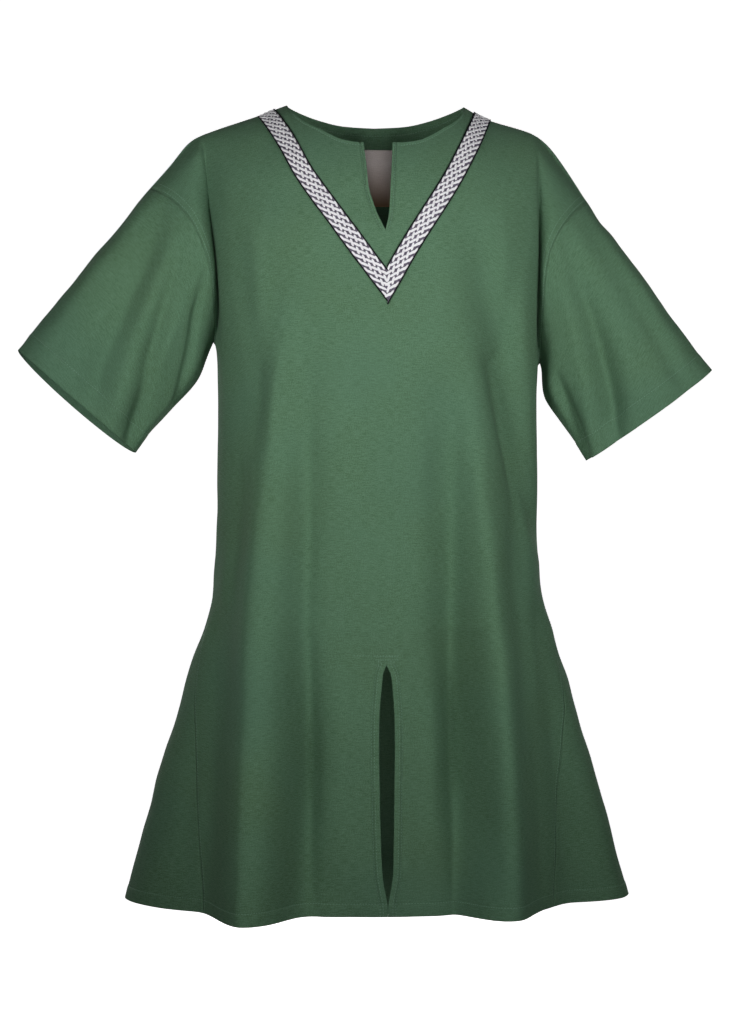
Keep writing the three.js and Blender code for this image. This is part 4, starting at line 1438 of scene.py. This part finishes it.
def cotton():
    """Green cotton with painted sheen and shade: faint bluish patches stand in for sheen, olive ones for
    shade, scattered at random.
    """
    cloth = bpy.context.scene.shirt_cloth
    colours = (cloth.colour, cloth.light, cloth.shade)
    material = woven_material("green cotton", colours, COTTON_YARNS, 0.92, 0.02, 0.0003)
    tree = material.node_tree
    if any(node.label == "painted sheen and shade patches" for node in tree.nodes):
        return material
    shader = tree.nodes["Principled BSDF"]
    where = tree.nodes.new("ShaderNodeTexCoord")
    for scale, begin, end, strong, painted_tint in PAINTED_SHEEN_AND_SHADE:
        patches = tree.nodes.new("ShaderNodeTexNoise")
        patches.label = "painted sheen and shade patches"
        patches.inputs["Scale"].default_value = scale
        patches.inputs["Detail"].default_value = 1.0
        tree.links.new(where.outputs["Object"], patches.inputs["Vector"])
        mask = tree.nodes.new("ShaderNodeMath")
        mask.operation = "MULTIPLY"
        mask.inputs[1].default_value = strong
        tree.links.new(ramp(tree, patches.outputs["Fac"], begin, end), mask.inputs[0])
        plain = shader.inputs["Base Color"].links[0].from_socket
        # mix in the patch colour: bluish painted sheen in the first pass, olive painted shade in the second
        tree.links.new(mix_colours(tree, mask.outputs[0], plain, painted_tint), shader.inputs["Base Color"])
    return material


# ---- operators ----
class SHIRT_OT_panels(bpy.types.Operator):
    """Make the front and the back panel"""

    bl_idname = "shirt.panels"
    bl_label = "Front and Back"

    def execute(self, context):
        cloth = context.scene.shirt_cloth
        for face in ("front", "back"):
            for side, name in ((-1, "left"), (1, "right")):
                made[face, name] = soft_panel(face, side)
        for face, flips in (("front", (True, False)), ("back", (False, True))):
            piece = cloth_object(f"{face}_cloth", [made[face, "left"], made[face, "right"]], False, flips)
            thicken(piece, cloth.thickness)
            finish(piece, face, cotton())
            made[face] = piece
        return {"FINISHED"}


class SHIRT_OT_sleeves(bpy.types.Operator):
    """Make both sleeves from the armhole seams to the cuffs"""

    bl_idname = "shirt.sleeves"
    bl_label = "Sleeves"

    def execute(self, context):
        cloth = context.scene.shirt_cloth
        for side, name in ((-1, "left"), (1, "right")):
            grid = sleeve_grid(made, side)
            made["sleeve", name] = grid
            piece = cloth_object(f"sleeve_{name}_cloth", [grid], True, (side < 0,))
            thicken(piece, cloth.thickness)
            finish(piece, f"sleeve_{name}", cotton())
            made[f"sleeve_{name}"] = piece
        return {"FINISHED"}


class SHIRT_OT_gores(bpy.types.Operator):
    """Make the side gores from the hip to the hem"""

    bl_idname = "shirt.gores"
    bl_label = "Side Gores"

    def execute(self, context):
        cloth = context.scene.shirt_cloth
        for side, name in ((-1, "left"), (1, "right")):
            grid = gore_grid(side)
            made["gore", name] = grid
            piece = cloth_object(f"gore_{name}_cloth", [grid], False, (side < 0,))
            thicken(piece, cloth.thickness)
            finish(piece, f"gore_{name}", cotton())
            made[f"gore_{name}"] = piece
        return {"FINISHED"}


class SHIRT_OT_label(bpy.types.Operator):
    """Make the bare label inside the back neck"""

    bl_idname = "shirt.label"
    bl_label = "Neck Label"

    def execute(self, context):
        wide, high, top = LABEL["wide"], LABEL["high"], LABEL["top"]
        x, z = np.meshgrid(np.linspace(-wide / 2, wide / 2, 25), np.linspace(top - high, top, 31))
        grid, normal = on_panel("back", x, z)
        piece = cloth_object("neck_label_cloth", [grid - normal * LABEL_LIFT], False, (True,))
        thicken(piece, LABEL["thick"] * MM)
        finish(piece, "neck_label", label_material())
        made["neck_label"] = piece
        return {"FINISHED"}


class SHIRT_OT_braid(bpy.types.Operator):
    """Make the braid round the neck: ground, raised yarns and edge cords"""

    bl_idname = "shirt.braid"
    bl_label = "Neck Braid"

    def execute(self, context):
        braid = context.scene.shirt_braid
        grids = [braid_ground(side, braid.width / MM) for side in (-1, 1)]
        piece = cloth_object("neck_braid_cloth", grids, False, (False, True))
        thicken(piece, BRAID_THICK * MM)
        ground = tuple(braid.ground)
        colours = (ground, tuple(v * 2.2 for v in ground), tuple(v * 0.5 for v in ground))
        weave = woven_material("braid ground", colours, BRAID_YARNS, 0.8, 0, 0.0003)
        finish(piece, "neck_braid", weave)
        made["neck_braid"] = piece
        yarn = plain_thread("white yarn", braid.yarn, 0.75)
        edge = plain_thread("black yarn", braid.edge, 0.8)
        meshes = []
        for side in (-1, 1):
            for kind in range(len(FLOATS["lean"])):
                float_of = {name: column[kind] for name, column in FLOATS.items()}
                run = braid_run(side, float_of["across"], braid.repeat / MM, float_of["phase"], YARN_LIFT)
                size = [float_of[key] * MM for key in ("long", "wide", "high")]
                lean = math.radians(float_of["lean"]) * -side
                meshes.append(thread_mesh("yarns", [run], size, lean, 2, yarn))
            cords = [braid_run(side, off, EDGE_STEP, 0.5, YARN_LIFT) for off in (-EDGE_OFF, EDGE_OFF)]
            meshes.append(thread_mesh("cords", cords, [v * MM for v in EDGE_SIZE], 0.3 * side, 1, edge))
        yarns = thread_object("neck_braid_yarns", meshes)
        return {"FINISHED"}


class SHIRT_OT_stitches(bpy.types.Operator):
    """Sew the hems, seams, neckline and slits"""

    bl_idname = "shirt.stitches"
    bl_label = "Stitches"

    def execute(self, context):
        sewing = context.scene.shirt_stitching
        thread = plain_thread("green thread", sewing.colour, 0.6)
        size = (sewing.length, sewing.width, sewing.width)
        for name, runs in stitch_runs(sewing.spacing / MM).items():
            mesh = thread_mesh(name, runs, size, 0.0, 1, thread)
            thread_object(name, [mesh])
        return {"FINISHED"}


class SHIRT_OT_stage(bpy.types.Operator):
    """Set up the floor, the backdrop, the lights and the camera"""

    bl_idname = "shirt.stage"
    bl_label = "Stage"

    def execute(self, context):
        stage = context.scene.shirt_stage
        make_backdrop(stage)
        make_lights()
        make_camera(stage)
        context.scene.view_settings.view_transform = "Standard"
        return {"FINISHED"}


BACKDROP = {"floor_z": -1.35, "reach": 5.0, "curve": 1.2, "top_z": 5.0, "turns": 64, "bends": 16}


def make_backdrop(stage):
    """A pale round floor that curves up into a wall all round the garment."""
    floor_z, reach, curve = BACKDROP["floor_z"], BACKDROP["reach"], BACKDROP["curve"]
    outline = [(0.5, floor_z)]
    for k in range(BACKDROP["bends"] + 1):
        angle = math.pi / 2 * k / BACKDROP["bends"]
        outline.append((reach - curve + curve * math.sin(angle), floor_z + curve - curve * math.cos(angle)))
    outline.append((reach, BACKDROP["top_z"]))
    turns = BACKDROP["turns"]
    points = [(0, 0, floor_z)]
    for radius, z in outline:
        for k in range(turns):
            angle = 2 * math.pi * k / turns
            points.append((radius * math.cos(angle), radius * math.sin(angle), z))
    faces = [(0, 1 + k, 1 + (k + 1) % turns) for k in range(turns)]
    for ring in range(len(outline) - 1):
        low, high = 1 + ring * turns, 1 + (ring + 1) * turns
        for k in range(turns):
            after = (k + 1) % turns
            faces.append((low + k, high + k, high + after, low + after))
    mesh = bpy.data.meshes.new("backdrop")
    mesh.from_pydata(points, [], faces)
    mesh.polygons.foreach_set("use_smooth", [True] * len(mesh.polygons))
    backdrop = bpy.data.objects.new("backdrop", mesh)
    bpy.context.scene.collection.objects.link(backdrop)
    backdrop.visible_diffuse = False
    backdrop.visible_glossy = False
    material, tree, shader = new_material("pale backdrop", 0.9)
    if tree:
        shader.inputs["Base Color"].default_value = (*stage.tone, 1)
        shader.inputs["Emission Color"].default_value = (*stage.tone, 1)
        shader.inputs["Emission Strength"].default_value = 1.06
    mesh.materials.append(material)


LIGHTS = table(
    "x y z aim across spread power",
    (-0.62, -1.0, -0.22, -0.2, 0.4, 120, 2.75),
    (0.64, -1.0, -0.22, -0.2, 0.4, 120, 2.95),
    (-0.15, -3.1, -0.85, -0.15, 0.4, 40, 0.75),
    (0.0, 2.2, 1.4, -0.45, 2.0, 180, 12),
    (-1.0, 2.4, -0.3, -0.45, 1.2, 180, 22),
    (1.0, 2.4, -0.3, -0.45, 1.2, 180, 22),
    (0.0, 0.0, -1.26, 0.0, 0.2, 55, 0.12),
)


def make_lights():
    for k in range(len(LIGHTS["x"])):
        row = {name: float(column[k]) for name, column in LIGHTS.items()}
        data = bpy.data.lights.new(f"softbox {k + 1}", "AREA")
        data.shape = "DISK"
        data.size = row["across"]
        data.spread = math.radians(row["spread"])
        data.energy = row["power"]
        lamp = bpy.data.objects.new(data.name, data)
        lamp.location = (row["x"], row["y"], row["z"])
        target = Vector((0, 0, row["aim"]))
        lamp.rotation_euler = (target - lamp.location).to_track_quat("-Z", "Y").to_euler()
        bpy.context.scene.collection.objects.link(lamp)
    world = bpy.data.worlds.new("studio")
    world.use_nodes = True
    world.node_tree.nodes["Background"].inputs["Color"].default_value = (1, 1, 1, 1)
    world.node_tree.nodes["Background"].inputs["Strength"].default_value = 0.05
    bpy.context.scene.world = world


VIEW_HEIGHT = -0.4617
VIEW_LEFT = 0.0131


def make_camera(stage):
    data = bpy.data.cameras.new("camera")
    data.lens = stage.lens
    data.sensor_width = 36
    camera = bpy.data.objects.new("camera", data)
    across = Vector((math.cos(stage.turn), math.sin(stage.turn), 0))
    back = Vector((math.sin(stage.turn), -math.cos(stage.turn), 0))
    camera.location = Vector((0, 0, VIEW_HEIGHT)) + back * stage.distance - across * VIEW_LEFT
    camera.rotation_euler = (math.pi / 2, 0, stage.turn)
    bpy.context.scene.collection.objects.link(camera)
    bpy.context.scene.camera = camera


class SHIRT_PT_panel(bpy.types.Panel):
    """Lists the steps and the settings"""

    bl_idname = "SHIRT_PT_panel"
    bl_label = "Viking Shirt"
    bl_space_type = "VIEW_3D"
    bl_region_type = "UI"
    bl_category = "Viking Shirt"

    def draw(self, context):
        layout = self.layout
        for operator in OPERATORS:
            layout.operator(operator.bl_idname)
        for owner in GROUPS.values():
            box = layout.box()
            settings = getattr(context.scene, owner)
            for name in settings.bl_rna.properties.keys():
                if name not in ("rna_type", "name"):
                    box.prop(settings, name)


OPERATORS = (
    SHIRT_OT_stage,
    SHIRT_OT_panels,
    SHIRT_OT_sleeves,
    SHIRT_OT_gores,
    SHIRT_OT_label,
    SHIRT_OT_braid,
    SHIRT_OT_stitches,
)
GROUPS = {
    ShirtCloth: "shirt_cloth",
    ShirtStitching: "shirt_stitching",
    ShirtBraid: "shirt_braid",
    ShirtStage: "shirt_stage",
}


def register():
    for group, name in GROUPS.items():
        bpy.utils.register_class(group)
        setattr(bpy.types.Scene, name, bpy.props.PointerProperty(type=group))
    for item in (*OPERATORS, SHIRT_PT_panel):
        bpy.utils.register_class(item)


def unregister():
    for item in (SHIRT_PT_panel, *reversed(OPERATORS)):
        bpy.utils.unregister_class(item)
    for group, name in reversed(GROUPS.items()):
        delattr(bpy.types.Scene, name)
        bpy.utils.unregister_class(group)


def main():
    register()
    for operator in OPERATORS:
        group, name = operator.bl_idname.split(".")
        getattr(getattr(bpy.ops, group), name)()


if __name__ == "__main__":
    main()
